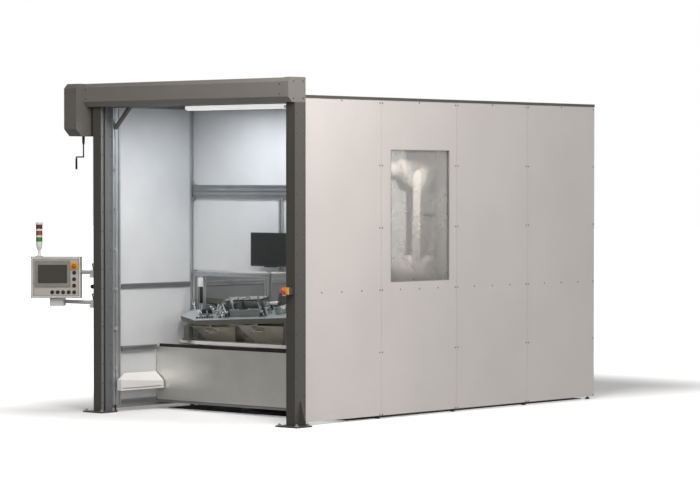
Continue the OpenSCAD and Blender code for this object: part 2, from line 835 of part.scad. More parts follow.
module signal_tower_body() {
    bell = [for (a = [0:15:90]) [10 + (tower_d / 2 - 10) * sin(a), tower_neck + tower_bell * (1 - cos(a))]];
    rings = [for (i = [0:3]) tower_neck + tower_bell + 6 + i * (tier_h + ring_h)];
    color(white) in_panel() translate([tower_x, tower_y, hmi_h]) {
        rotate_extrude() polygon(concat([[0, 0], [34, 0], [34, 4], [14, 9], [10, 12]], bell,
            [[tower_d / 2, rings[0]], [0, rings[0]]]));
        translate([0, 0, rings[0] - 1]) cylinder(d = 22, h = rings[3] - rings[0] - ring_h + 10);
        for (i = [1:3]) translate([0, 0, rings[i] - ring_h]) cylinder(d = tower_d, h = ring_h);
    }
}

module signal_tower_lenses() {
    first = tower_neck + tower_bell + 6;
    names = ["green", "orange", "red"];
    in_panel() translate([tower_x, tower_y, hmi_h]) for (i = [0:2])
        color(names[i]) translate([0, 0, first + i * (tier_h + ring_h)]) difference() {
            cylinder(d = tower_d, h = tier_h);
            translate([0, 0, -1]) cylinder(d = 22 + 2 * run, h = tier_h + 2);
        }
}

// ---- turntable -----------------------------------------------------------

module table_outline() {
    polygon([[-table_edge, -table_y], [table_edge, -table_y], [table_reach, -tip_y], [table_reach, tip_y],
             [table_edge, table_y], [-table_edge, table_y], [-table_reach, tip_y], [-table_reach, -tip_y]]);
}

// drive drum with its floor flange and bearing ring
module turntable_base() {
    color("#3c3c3a") {
        rotate_extrude() polygon([[0, 0], [360, 0], [360, 22], [300, 30], [280, 60], [280, 470], [250, 500],
            [240, 510], [240, platform_bot - gap], [0, platform_bot - gap]]);
        block([-90, 250, 120], [90, 430, 380]);
    }
}

module turntable_platform() {
    color(alu) difference() {
        translate([0, 0, platform_bot]) linear_extrude(platform_t) table_outline();
        for (a = [0:30:330]) rotate([0, 0, a]) translate([215, 0, platform_z - 8]) cylinder(d = 26, h = 9);
    }
}

module table_tops() {
    color(steel) both_stations() on_top() difference() {
        translate([0, 0, -top_t]) linear_extrude(top_t) polygon(top_outline);
        for (s = [-1, 1], i = [0:3])
            translate([s * (560 + i * 110), top_depth - 50, -10]) cylinder(d = 12, h = 11);
    }
}

// square legs cut to the slope, each on a foot plate
module table_legs() {
    color(steel) both_stations() for (p = legs) difference() {
        union() {
            block([p[0] - leg_w / 2, p[1] - leg_w / 2, platform_z],
                  [p[0] + leg_w / 2, p[1] + leg_w / 2, platform_z + 488]);
            block([p[0] - 45, p[1] - 38, platform_z], [p[0] + 45, p[1] + 45, platform_z + 14]);
        }
        on_top() block([-1500, -300, -top_t], [1500, 900, 900]);
    }
}

// foot and ears of a toggle clamp around the lever's pin at the origin
pin_h = 40;
module clamp_foot() {
    block([-24, -30, -pin_h], [24, 34, 8 - pin_h]);
    for (s = [0, 1]) mirror([s, 0, 0]) along_x(14, 8)
        polygon([[-22, -pin_h + 4], [22, -pin_h + 4], [13, 4], [6, 12], [-6, 12], [-13, 4]]);
    rotate([0, 90, 0]) cylinder(d = 10, h = 50, center = true);
}

// lever of a toggle clamp: hub, upright handle and nose
module clamp_lever() {
    difference() {
        union() {
            rotate([0, 90, 0]) cylinder(d = 26, h = 27.4, center = true);
            along_x(-8, 16) polygon([[-11, 0], [9, 6], [-8, 104], [-20, 104], [-24, 96]]);
            along_x(-8, 16) polygon([[0, -9], [0, 9], [46, 0], [52, -6], [52, -14], [44, -14]]);
            translate([0, 44, -30]) cylinder(d = 12, h = 24);
        }
        rotate([0, 90, 0]) cylinder(d = 10 + 2 * run, h = 60, center = true);
    }
}

clamp_x = [-345, 78];
clamp_y = 72;
module at_clamp(i) {
    on_top() translate([clamp_x[i], clamp_y, pin_h]) children();
}

module clamp_lever_left() { color("silver") at_clamp(0) clamp_lever(); }
module clamp_lever_right() { color("silver") at_clamp(1) clamp_lever(); }

// locating blocks, rest pads and a bowl on the inclined top
jaw_h = 122;
module fixture_set() {
    on_top() {
        difference() {
            block([-300, 64, 0], [46, 122, 62]);
            block([-180, 80, 50], [-90, 123, 63]);
        }
        for (x = [[-440, -236], [-209, 16]]) difference() {
            along_x(x[0], x[1] - x[0])
                polygon([[172, 0], [262, 0], [262, jaw_h], [196, jaw_h], [172, jaw_h - 12]]);
            block([x[0] + 40, 220, jaw_h - 36], [x[1] - 40, 263, jaw_h + 1]);
            block([x[0] + 70, 171, 34], [x[0] + 110, 200, 58]);
        }
        for (x = [-395, -300, -160, -60]) translate([x, 205, jaw_h - eps]) cylinder(d = 18, h = 10);
        translate([225, 180, 0]) difference() {
            cylinder(d1 = 130, d2 = 160, h = 40);
            translate([0, 0, 8]) cylinder(d1 = 110, d2 = 146, h = 33);
        }
        block([150, 266, 0], [282, 326, 118]);
        for (x = [[22, 44], [96, 114]]) block([x[0], 244, 0], [x[1], 266, 52]);
        block([16, 242, 52 - eps], [118, 268, 64]);
        block([-750, 156, 0], [-582, 206, 14]);
        for (p = [[-720, 118], [-705, 250], [-520, 118], [-620, 110], [560, 120], [700, 200]])
            translate([p[0], p[1], 0]) cylinder(d = 20, h = 26);
    }
}

module table_fixtures() {
    color(alu) {
        both_stations() {
            fixture_set();
            for (i = [0, 1]) at_clamp(i) clamp_foot();
        }
        rotate([0, 0, 180]) for (i = [0, 1]) at_clamp(i) clamp_lever();
    }
}

// open frames that stand across the platform, with a switch box on the end post
module station_divider() {
    color(alu) both_stations() {
        for (x = divider_x) upright(x, -profile / 2, platform_z, divider_z - lintel_h - gap);
        rail_x(divider_tip, divider_x[1] + profile, -profile / 2, divider_z - lintel_h, profile, lintel_h);
        block([switch_x, -profile / 2 - gap - switch_box[1], switch_z],
              [switch_x + switch_box[0], -profile / 2 - gap, switch_z + switch_box[2]]);
    }
}

// hopper-shaped tray that slides out over the platform, with a finger cup in its sloping front
module tray(i) {
    x = tray_x[i];
    w = tray_ws[i];
    fw = w * 0.62;
    z0 = platform_z + gap;
    z1 = tray_top(i);
    module shell(t, up) {
        hull() {
            block([x - w / 2 + t, tray_y0 + t, z1 - 2 + up],
                  [x + w / 2 - t, tray_y0 + tray_d - t, z1 + up]);
            block([x - fw / 2 + t, tray_y0 + 112 + t * 0.5, z0 + t],
                  [x + fw / 2 - t, tray_y0 + tray_d - 8 - t, z0 + t + 1]);
        }
    }
    cx = x + cup_x;
    cup = [[cx - cup_w / 2, tray_y0 + 2, z1 - 8 - cup_h], [cx + cup_w / 2, tray_y0 + cup_d, z1 - 8]];
    difference() {
        shell(0, 0);
        difference() {
            shell(tray_t, 2 + eps);
            block(cup[0], cup[1]);
        }
        block([cup[0][0] + tray_t, cup[0][1] - 10, cup[0][2] + tray_t],
              [cup[1][0] - tray_t, cup[1][1] - tray_t, cup[1][2] - tray_t]);
    }
}

module tray_left() { color(cream) tray(0); }
module tray_middle() { color(cream) tray(1); }
module tray_right() { color(cream) tray(2); }
module rear_trays() { color(cream) rotate([0, 0, 180]) for (i = [0:2]) tray(i); }

// ---- robot ---------------------------------------------------------------

hub_d = 270;
elbow_d = 220;
wrist_d = 130;
fork_w = 62;
roll_z = elbow_z + 80;
elbow_front = shoulder_y - 150;

module robot_pedestal() {
    color(dark) translate([0, robot_y, 0]) {
        block([-330, -330, 0], [330, 330, 28]);
        translate([0, 0, 28]) linear_extrude(pedestal_h - 56) difference() {
            square([400, 400], center = true);
            square([376, 376], center = true);
        }
        for (a = [0:90:270]) rotate([0, 0, a]) along_y(-8, 16)
            polygon([[200, 28], [310, 28], [310, 44], [200, 240]]);
        block([-260, -260, pedestal_h - 28], [260, 260, pedestal_h]);
    }
    color(white) translate([0, robot_y, 0]) {
        block([-230, -230, pedestal_h], [230, 230, pedestal_h + 30]);
        translate([0, 0, pedestal_h + 30]) rotate_extrude()
            polygon([[0, 0], [210, 0], [190, 40], [180, 140], [196, 180], [200, turret_z - pedestal_h - 30],
                     [0, turret_z - pedestal_h - 30]]);
    }
}

module robot_turret() {
    color(white) {
        translate([0, robot_y, turret_z + gap]) cylinder(d = 396, h = 70);
        difference() {
            hull() {
                translate([0, robot_y, turret_z + 60]) cylinder(d = 330, h = 60, $fn = 40);
                translate([0, shoulder_y, shoulder_z]) bar_along_x(hub_d, 2 * arm_x - 30, $fn = 40);
            }
            block([arm_x, shoulder_y - 200, shoulder_z - hub_d / 2 - 30],
                  [2 * arm_x, robot_y + 200, shoulder_z + 200]);
        }
        translate([0, shoulder_y, shoulder_z]) bar_along_x(hub_d - 10, 2 * arm_x);
        translate([-arm_x, shoulder_y, shoulder_z]) rotate([0, -90, 0]) rotate_extrude()
            polygon([[0, -10], [120, -10], [120, 30], [104, 60], [84, 66], [84, 150], [70, 166], [0, 166]]);
        translate([0, robot_y + 95, turret_z + 100]) cylinder(d = 150, h = 260);
    }
}

module robot_lower_arm() {
    color(white) {
        difference() {
            hull() {
                translate([arm_x + gap + 50, shoulder_y, shoulder_z]) bar_along_x(hub_d, 96, $fn = 40);
                translate([arm_x + gap + 50, shoulder_y, elbow_z]) bar_along_x(elbow_d, 84, $fn = 40);
            }
            block([arm_x + 92, shoulder_y - 60, shoulder_z + 190],
                  [arm_x + 120, shoulder_y + 60, elbow_z - 170]);
        }
        translate([arm_x + gap, shoulder_y, shoulder_z]) rotate([0, 90, 0]) rotate_extrude()
            polygon([[0, 0], [125, 0], [125, 110], [96, 128], [0, 134]]);
        translate([arm_x + gap, shoulder_y, elbow_z]) rotate([0, 90, 0]) rotate_extrude()
            polygon([[0, 0], [100, 0], [100, 100], [80, 116], [0, 122]]);
    }
}

module robot_elbow() {
    color(white) {
        translate([0, shoulder_y, elbow_z]) bar_along_x(elbow_d - 20, 2 * arm_x);
        hull() {
            translate([0, shoulder_y, elbow_z]) bar_along_x(elbow_d - 10, 2 * arm_x - 40, $fn = 36);
            translate([0, elbow_front + 30, roll_z]) rotate([90, 0, 0]) cylinder(d = 210, h = 30, $fn = 36);
            translate([0, shoulder_y + 150, roll_z]) rotate([90, 0, 0]) cylinder(d = 170, h = 30, $fn = 36);
        }
        for (s = [-1, 1]) translate([s * 48, shoulder_y + 260, roll_z + 10]) rotate([90, 0, 0])
            cylinder(d = 84, h = 150);
    }
}

module robot_forearm() {
    reach = elbow_front - gap - wrist_y;
    color(white) translate([0, elbow_front - gap, roll_z]) {
        rotate([90, 0, 0]) rotate_extrude()
            polygon([[0, 0], [98, 0], [98, 30], [84, 60], [70, reach - 190], [76, reach - 150],
                     [76, reach - 110], [0, reach - 110]]);
        for (s = [0, 1]) mirror([s, 0, 0]) along_x(fork_w, 26)
            polygon(concat([[-reach + 118, -62], [-reach + 118, 62]],
                [for (a = [90:15:270]) [-reach + 62 * cos(a), 62 * sin(a)]]));
        translate([0, -reach + 114, 0]) rotate([90, 0, 0]) cylinder(d = 150, h = 14);
    }
}

module robot_wrist() {
    color(white) translate([0, wrist_y, roll_z]) {
        bar_along_x(wrist_d - 10, 2 * (fork_w - gap));
        translate([0, 0, -112]) rotate_extrude() polygon([[0, 0], [48, 0], [56, 10], [56, 80], [0, 80]]);
        translate([0, 0, -60]) cylinder(d = 104, h = 60);
    }
}

// processing head: mounting plate, collimator body, sensor box and nozzle
module laser_head() {
    color("#3b3d40") translate([0, wrist_y, roll_z - 112 - gap]) {
        translate([0, 0, -22]) cylinder(d = 92, h = 22);
        block([-58, -70, -250], [58, 70, -22]);
        translate([0, 0, -340]) cylinder(d1 = 70, d2 = 104, h = 91);
        translate([0, 0, -440]) rotate_extrude()
            polygon([[4, 0], [9, 0], [20, 40], [20, 62], [34, 74], [34, 101], [4, 101]]);
        block([-40, -132, -236], [40, -70, -96]);
        translate([0, 96, -236]) cylinder(d = 48, h = 166);
        block([-22, 69, -200], [22, 96, -120]);
    }
}

door_column_left();
door_column_right();
anchor_plates();
header_cover();
header_end_cap();
drive_housing();
right_wall_panel_1();
right_wall_panel_2();
right_wall_panel_3();
right_wall_panel_4();
window_pane();
left_and_rear_panels();
roof_panels();
wall_linings();
frame_posts();
frame_rails();
wall_cap_rails();
levelling_feet();
partition_panels();
skirt_panel();
slope_cover();
ceiling_lamp();
monitor_bracket();
turntable_base();
robot_pedestal();
column_estop_box();
arm_hinge_blocks();
header_brace();
door_clips();
door_knob();
door_bar();
door_curtain();
curtain_drum();
hand_crank();
panel_arm();
panel_cabinet();
panel_display();
panel_estop_button();
column_estop_button();
panel_buttons();
signal_tower_body();
signal_tower_lenses();
turntable_platform();
table_tops();
table_legs();
table_fixtures();
station_divider();
tray_left();
tray_middle();
tray_right();
rear_trays();
robot_turret();
robot_lower_arm();
robot_elbow();
robot_forearm();
robot_wrist();
laser_head();
monitor();
clamp_lever_left();
clamp_lever_right();
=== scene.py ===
# %% [markdown]
# # Robotic laser cell
# A closed machine house about 2.4 m wide, 4.1 m deep and 2.7 m high. A roller door opens on an operator's bay
# with a two-station turntable, and a robot with a laser head works behind a fixed partition.
# The solids come in already packed, one object per node, and never move here. This script gives each
# of them a finish, adds the screws, seals, glass and small fittings, and sets the camera and the lights.

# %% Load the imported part
import itertools
import math

import bmesh
import bpy
from mathutils import Matrix, Vector


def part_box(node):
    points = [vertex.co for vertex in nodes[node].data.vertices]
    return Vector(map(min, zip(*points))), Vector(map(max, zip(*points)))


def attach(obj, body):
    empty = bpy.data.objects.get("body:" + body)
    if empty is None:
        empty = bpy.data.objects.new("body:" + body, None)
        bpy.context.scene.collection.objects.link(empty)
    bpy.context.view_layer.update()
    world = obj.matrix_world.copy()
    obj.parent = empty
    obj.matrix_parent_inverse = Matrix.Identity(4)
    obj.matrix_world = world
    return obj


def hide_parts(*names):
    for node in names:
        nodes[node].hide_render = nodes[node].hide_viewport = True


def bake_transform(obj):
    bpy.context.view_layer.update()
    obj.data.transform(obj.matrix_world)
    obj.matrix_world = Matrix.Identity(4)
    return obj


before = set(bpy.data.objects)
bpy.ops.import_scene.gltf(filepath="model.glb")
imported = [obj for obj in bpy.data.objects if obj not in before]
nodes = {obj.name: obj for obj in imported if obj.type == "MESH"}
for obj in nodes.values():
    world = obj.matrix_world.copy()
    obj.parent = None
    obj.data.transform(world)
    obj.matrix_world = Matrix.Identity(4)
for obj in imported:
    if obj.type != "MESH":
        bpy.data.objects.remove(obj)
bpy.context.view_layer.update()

scene = bpy.context.scene


def corners(node):
    """Lowest and highest corner of a node, in metres."""
    low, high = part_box(node)
    return Vector(low), Vector(high)

# %% [markdown]
# ## Camera
# The cell is seen from its right front corner, from about twenty metres away and at eye height, so its
# upright edges stay nearly parallel. A long lens keeps the proportions true from that distance. The camera
# could aim at the middle of the box, but a fixed place and two angles are easier to read.

# %% Camera
CAMERA_PLACE = Vector((17.067, -18.296, 2.008))
CAMERA_AZIMUTH = math.radians(41.652)
CAMERA_DIP = math.radians(1.36)
LENS_MM = 147.3

lens = bpy.data.cameras.new("camera")
lens.lens = LENS_MM
lens.sensor_width = 36.0
lens.clip_end = 300.0
camera = bpy.data.objects.new("camera", lens)
camera.location = CAMERA_PLACE
camera.rotation_euler = (math.pi / 2 - CAMERA_DIP, 0.0, CAMERA_AZIMUTH)
scene.collection.objects.link(camera)
scene.camera = camera
print("camera", [round(v, 2) for v in camera.location])

# %% [markdown]
# ## Colours and nodes
# A colour is written as the sRGB hex value that the eye reads, and turned to the linear numbers that
# the renderer adds up. One helper adds a node, sets its properties, fills or links its sockets and places a
# ramp's colours, so a material reads as a short list of nodes. Every pattern reads the Object coordinates,
# in metres, so a scale is one over a real length.

# %% Colour and node helpers
def linear(code, alpha=1.0):
    """An sRGB hex colour as linear red, green, blue and alpha."""
    channels = [int(code[i:i + 2], 16) / 255.0 for i in (1, 3, 5)]
    return tuple([c / 12.92 if c <= 0.04045 else ((c + 0.055) / 1.055) ** 2.4 for c in channels] + [alpha])


def add(tree, kind, inputs=(), stops=(), between="LINEAR", **settings):
    """Adds one node: inputs are values or sockets to link, stops a ramp's (place, hex), settings its properties."""
    node = tree.nodes.new("ShaderNode" + kind)
    for name, value in settings.items():
        setattr(node, name, value)
    for key, value in dict(inputs).items():
        if isinstance(value, bpy.types.NodeSocket):
            tree.links.new(value, node.inputs[key])
        else:
            node.inputs[key].default_value = value
    if stops:
        node.color_ramp.interpolation = between
        points = node.color_ramp.elements
        while len(points) < len(stops):
            points.new(0.5)
        for point, (place, code) in zip(points, stops):
            point.position = place
            point.color = linear(code)
    return node


def new_material(name):
    """An empty node material, its tree and its Object coordinates."""
    material = bpy.data.materials.new(name)
    material.use_nodes = True
    tree = material.node_tree
    tree.nodes.clear()
    return material, tree, add(tree, "TexCoord").outputs["Object"]


def surfaced(material, height, lift, deep_mm, looks):
    """Closes a material: looks fill its shader, and a height pattern lifts the surface that much at most."""
    tree = material.node_tree
    bump = add(tree, "Bump", {"Height": height, "Strength": lift, "Distance": deep_mm * MM})
    shader = add(tree, "BsdfPrincipled", {**looks, "Normal": bump.outputs["Normal"]})
    add(tree, "OutputMaterial", {"Surface": shader.outputs[0]})
    return material


def wave_scale(pitch_mm):
    """A wave texture's scale for a pitch: at scale 1 its bands are a little over 0.3 m apart."""
    return 1 / (pitch_mm * MM) / 3.14


MM = 0.001
print("node helpers ready")

# %% [markdown]
# ## Painted sheet metal
# Most of the cell is steel sheet with a baked powder coat. Powder melts into a film with a faint
# orange-peel ripple, a few millimetres wide, and its colour and gloss drift slightly over a large panel. Two
# noises give that: a broad one moves the colour and the roughness, a fine one lifts the surface.

# %% Powder coat
def powder_coat(name, light, dark, roughness, ripple_mm=5.0, ripple=0.05, drift_mm=700.0, coat=0.0):
    """Baked powder: a slow drift of colour and gloss under a fine orange peel."""
    material, tree, place = new_material(name)
    drift = add(tree, "TexNoise", {"Vector": place, "Scale": 1 / (drift_mm * MM), "Detail": 3.0})
    fine = add(tree, "TexNoise", {"Vector": place, "Scale": 1 / (ripple_mm * MM), "Detail": 2.0})
    colour = add(tree, "ValToRGB", {"Fac": drift.outputs["Fac"]}, [(0.35, dark), (0.65, light)]).outputs[0]
    gloss = add(tree, "MapRange", {"Value": drift.outputs["Fac"], "From Min": 0.3, "From Max": 0.7,
                                   "To Min": roughness - 0.05, "To Max": roughness + 0.05})
    return surfaced(material, fine.outputs["Fac"], ripple, 0.4,
                    {"Base Color": colour, "Roughness": gloss.outputs["Result"], "Coat Weight": coat})


anthracite_coat = powder_coat("anthracite_powder_coat", "#4f4e4a", "#494844", 0.42)
# The header and the drive housing are lighter copies of the anthracite coat, as painted light on them.
header_painted_light_coat = powder_coat("header_anthracite_painted_light", "#7a7773", "#73706c", 0.42)
house_coat = powder_coat("warm_white_powder_coat", "#d4cfcc", "#cfcac7", 0.4)
cabinet_coat = powder_coat("cabinet_powder_coat", "#b3afa8", "#ada9a2", 0.5, ripple_mm=3.0, ripple=0.06)
drive_painted_light_coat = powder_coat("drive_housing_anthracite_painted_light", "#686663", "#615f5c", 0.42)
robot_coat = powder_coat("white_robot_enamel", "#e3e2df", "#dcdbd8", 0.35, drift_mm=400.0, coat=0.15)
white_cast = powder_coat("white_cast_enamel", "#cccbc8", "#c4c3c0", 0.4, ripple_mm=3.0)
# The slope cover is the lining's sheet painted whiter, as painted light from above.
slope_painted_light_coat = powder_coat("slope_lining_painted_light", "#efeeec", "#e8e7e5", 0.4, ripple=0.02)
black_cast = powder_coat("black_cast_enamel", "#2d2d2b", "#272725", 0.5, ripple_mm=4.0, ripple=0.15)
print("powder coats made")

# %% [markdown]
# ## Bare and anodised metal
# Extruded aluminium carries fine lines along its length from the die, under a thin satin oxide. Ground steel
# plate has the same kind of lines across its face. A noise stretched far along one axis draws them: it drives
# the roughness and a slight bump. The lines are drawn about 3 mm wide so that they still show from afar.

# %% Lined metal
LINE_STRETCH = 120


def lined_metal(name, light, dark, roughness, along, line_mm=3.0, metallic=0.85, lift=0.06):
    """Drawn or ground metal: fine lines that stretch the highlight across them."""
    material, tree, place = new_material(name)
    scale = [1 / (line_mm * MM)] * 3
    for axis in along:
        scale["XYZ".index(axis)] = 1 / (line_mm * MM * LINE_STRETCH)
    stretched = add(tree, "Mapping", {"Vector": place, "Scale": scale})
    lines = add(tree, "TexNoise", {"Vector": stretched.outputs["Vector"], "Scale": 1.0, "Detail": 3.0})
    clouds = add(tree, "TexNoise", {"Vector": place, "Scale": 1 / (180 * MM), "Detail": 2.0})
    both = add(tree, "Math", {0: lines.outputs["Fac"], 1: clouds.outputs["Fac"]}, operation="ADD")
    half = add(tree, "Math", {0: both.outputs[0], 1: 0.5}, operation="MULTIPLY")
    colour = add(tree, "ValToRGB", {"Fac": half.outputs[0]}, [(0.35, dark), (0.65, light)]).outputs[0]
    gloss = add(tree, "MapRange", {"Value": half.outputs[0], "From Min": 0.35, "From Max": 0.65,
                                   "To Min": roughness - 0.07, "To Max": roughness + 0.07})
    return surfaced(material, lines.outputs["Fac"], lift, 0.3,
                    {"Base Color": colour, "Metallic": metallic, "Roughness": gloss.outputs["Result"]})


# The uprights are the rails' anodised aluminium made lighter, as painted light on them.
uprights_painted_light_profile = lined_metal("anodised_aluminium_painted_light_uprights", "#c6c9cb", "#b6b9bb", 0.36, "Z", metallic=0.7)
rail_profile = lined_metal("anodised_aluminium_rails", "#9fa2a4", "#8f9294", 0.38, "XY", metallic=0.7)
tube_aluminium = lined_metal("satin_aluminium_tube", "#dcddde", "#cfd0d1", 0.35, "X", metallic=0.45)
leg_steel = lined_metal("painted_steel_legs", "#6b6b64", "#5f5f59", 0.42, "Z", metallic=0.4)
fixture_steel = lined_metal("milled_fixture_steel", "#9a9e9d", "#828685", 0.34, "X", metallic=0.85)
tray_sheet = lined_metal("brushed_stainless_sheet", "#dcd6c8", "#c8c2b4", 0.34, "Z", metallic=0.9)
bright_steel = lined_metal("polished_steel", "#d4d6d7", "#bfc1c2", 0.2, "Z", metallic=1.0, lift=0.02)
zinc_steel = lined_metal("zinc_plated_screws", "#b9bab6", "#9d9e9a", 0.35, "Z", metallic=0.9, lift=0.02)
skirt_sheet = lined_metal("satin_steel_skirt", "#e2e1db", "#d8d7d1", 0.36, "X", metallic=0.8, lift=0.03)
# The panel screw heads are dark partly from their steel and partly as painted shade of their recesses.
panel_screws_painted_shade = lined_metal("panel_screw_heads_painted_shade", "#8d8a86", "#7b7874", 0.45, "Z", metallic=0.6, lift=0.02)
black_oxide = lined_metal("black_oxide_steel", "#303130", "#232423", 0.42, "Z", metallic=0.6)


def plate_toned_by_facing(name, face, rim, roughness):
    """A plate toned by facing: faces that look up take the top tones, the others the side tones, as painted light and
    shade.
    """
    material, tree, place = new_material(name)
    upward = add(tree, "SeparateXYZ", {0: place.node.outputs["Normal"]}).outputs["Z"]
    faces_up = add(tree, "Math", {0: upward, 1: 0.7}, operation="GREATER_THAN")
    stretched = add(tree, "Mapping", {"Vector": place, "Scale": (1 / (360 * MM), 1 / (3 * MM), 1 / (3 * MM))})
    lines = add(tree, "TexNoise", {"Vector": stretched.outputs["Vector"], "Scale": 1.0, "Detail": 3.0})
    ground = add(tree, "ValToRGB", {"Fac": lines.outputs["Fac"]}, [(0.35, face[0]), (0.65, face[1])]).outputs[0]
    painted = add(tree, "ValToRGB", {"Fac": lines.outputs["Fac"]}, [(0.35, rim[0]), (0.65, rim[1])]).outputs[0]
    colour = add(tree, "Mix", {0: faces_up.outputs[0], 6: painted, 7: ground}, data_type="RGBA")
    metal = add(tree, "Math", {0: faces_up.outputs[0], 1: 0.6}, operation="MULTIPLY")
    return surfaced(material, lines.outputs["Fac"], 0.06, 0.3,
                    {"Base Color": colour.outputs[2], "Metallic": metal.outputs[0], "Roughness": roughness})


# The platform's sides are painted near white, as a painted highlight along its rim.
platform_painted_highlight_plate = plate_toned_by_facing("platform_sides_painted_highlight", ("#a2a4a3", "#b0b2b1"), ("#f4f3f0", "#ebeae7"), 0.36)
# The table tops' sides are painted dark, as painted shade on their edges.
table_top_painted_shade_plate = plate_toned_by_facing("table_top_sides_painted_shade", ("#c3c8ca", "#d2d7d9"), ("#565750", "#5f6059"), 0.36)
print("metals made")

# %% [markdown]
# ## Plastics, rubber and fabric
# Moulded plastic takes the fine spark texture of its mould. Rubber is darker and duller. The door's curtain
# is coated fabric with a plain weave of about 4 mm, drawn by two crossed waves.

# %% Plastics, rubber and curtain
def moulded(name, light, dark, roughness, grain_mm=1.5, lift=0.08, coat=0.0):
    """Moulded plastic: an even spark grain that softens the highlight."""
    material, tree, place = new_material(name)
    grain = add(tree, "TexNoise", {"Vector": place, "Scale": 1 / (grain_mm * MM), "Detail": 4.0})
    cloud = add(tree, "TexNoise", {"Vector": place, "Scale": 1 / (60 * MM), "Detail": 2.0})
    colour = add(tree, "ValToRGB", {"Fac": cloud.outputs["Fac"]}, [(0.35, dark), (0.65, light)]).outputs[0]
    gloss = add(tree, "MapRange", {"Value": grain.outputs["Fac"], "From Min": 0.3, "From Max": 0.7,
                                   "To Min": roughness - 0.04, "To Max": roughness + 0.06})
    return surfaced(material, grain.outputs["Fac"], lift, 0.2,
                    {"Base Color": colour, "Roughness": gloss.outputs["Result"], "Coat Weight": coat})


black_plastic = moulded("black_nylon", "#242423", "#1c1c1b", 0.45)
monitor_plastic = moulded("charcoal_abs", "#36383a", "#323435", 0.5, lift=0.02)
bezel_plastic = moulded("grey_bezel_abs", "#85857d", "#7d7d75", 0.45)
white_plastic = moulded("white_abs", "#dfdfdd", "#d6d6d4", 0.38)
clip_plastic = moulded("grey_nylon_clips", "#b2b5b6", "#a9acad", 0.45)
trim_plastic = moulded("pale_grey_trim", "#efefec", "#e6e6e3", 0.45)
yellow_plastic = moulded("yellow_polycarbonate", "#e0a932", "#d59d28", 0.4)
amber_plastic = moulded("orange_red_polycarbonate", "#b9571d", "#a94d18", 0.35, lift=0.02)
red_plastic = moulded("red_polycarbonate", "#d23a24", "#c2321e", 0.28, lift=0.02, coat=0.3)
black_rubber = moulded("black_rubber", "#1b1b1a", "#131312", 0.75, grain_mm=2.5, lift=0.2)
copper = lined_metal("copper_nozzle", "#c88a5e", "#b0764c", 0.3, "Z", metallic=1.0)


def woven_curtain():
    """Coated weave: a matt, slightly soft sheet with a fine grid of threads."""
    material, tree, place = new_material("coated_curtain_fabric")
    warp = add(tree, "TexWave", {"Vector": place, "Scale": wave_scale(4)}, bands_direction="X")
    weft = add(tree, "TexWave", {"Vector": place, "Scale": wave_scale(4)}, bands_direction="Z")
    weave = add(tree, "Math", {0: warp.outputs["Fac"], 1: weft.outputs["Fac"]}, operation="MULTIPLY")
    cloud = add(tree, "TexNoise", {"Vector": place, "Scale": 1 / (300 * MM)})
    colour = add(tree, "ValToRGB", {"Fac": cloud.outputs["Fac"]}, [(0.3, "#cdcdc8"), (0.7, "#d1d1cc")]).outputs[0]
    return surfaced(material, weave.outputs[0], 0.3, 0.4,
                    {"Base Color": colour, "Roughness": 0.6, "Sheen Weight": 0.2})


curtain_fabric = woven_curtain()
print("plastics, rubber and curtain made")

# %% [markdown]
# ## Glass, lamp and lenses
# The laser safety pane is a thick grey sheet: it lets about two thirds of the light through and veils what
# stands behind it. A mix of a clear and a milky layer gives that without the noise of true refraction. The
# signal tower's lenses are ribbed, unlit, coloured plastic: their colour changes with height, in three steps.

# %% Glass, lamp and lenses
def veiled_glass(name, tint, veil_code, veil, roughness):
    """Thick safety glass: a clear layer and a milky one, in slightly uneven shares."""
    material, tree, place = new_material(name)
    smear = add(tree, "TexNoise", {"Vector": place, "Scale": 1 / (250 * MM), "Detail": 3.0})
    share = add(tree, "MapRange", {"Value": smear.outputs["Fac"], "From Min": 0.3, "From Max": 0.7,
                                   "To Min": veil - 0.03, "To Max": veil + 0.03})
    clear = add(tree, "BsdfTransparent", {"Color": linear(tint)})
    milk = add(tree, "BsdfPrincipled", {"Base Color": linear(veil_code), "Roughness": roughness})
    mixed = add(tree, "MixShader", {0: share.outputs["Result"], 1: clear.outputs[0], 2: milk.outputs[0]})
    add(tree, "OutputMaterial", {"Surface": mixed.outputs[0]})
    return material


def screen_glass(name, code, roughness):
    """Dark screen glass: a highlight that finger marks dull in patches."""
    material, tree, place = new_material(name)
    smear = add(tree, "TexNoise", {"Vector": place, "Scale": 1 / (40 * MM), "Detail": 4.0})
    gloss = add(tree, "MapRange", {"Value": smear.outputs["Fac"], "From Min": 0.3, "From Max": 0.7,
                                   "To Min": roughness, "To Max": roughness + 0.08})
    shader = add(tree, "BsdfPrincipled", {"Base Color": linear(code), "Roughness": gloss.outputs["Result"]})
    add(tree, "OutputMaterial", {"Surface": shader.outputs[0]})
    return material


def lit_diffuser():
    """Opal acrylic with prisms across it: an even glow with faint bands."""
    material, tree, place = new_material("opal_lamp_diffuser")
    prisms = add(tree, "TexWave", {"Vector": place, "Scale": wave_scale(12)}, bands_direction="X")
    glow = add(tree, "ValToRGB", {"Fac": prisms.outputs["Fac"]}, [(0.0, "#f4f6f8"), (1.0, "#ffffff")]).outputs[0]
    shader = add(tree, "BsdfPrincipled", {"Base Color": linear("#f2f2f0"), "Roughness": 0.4,
                                          "Emission Color": glow, "Emission Strength": 0.5})
    add(tree, "OutputMaterial", {"Surface": shader.outputs[0]})
    return material


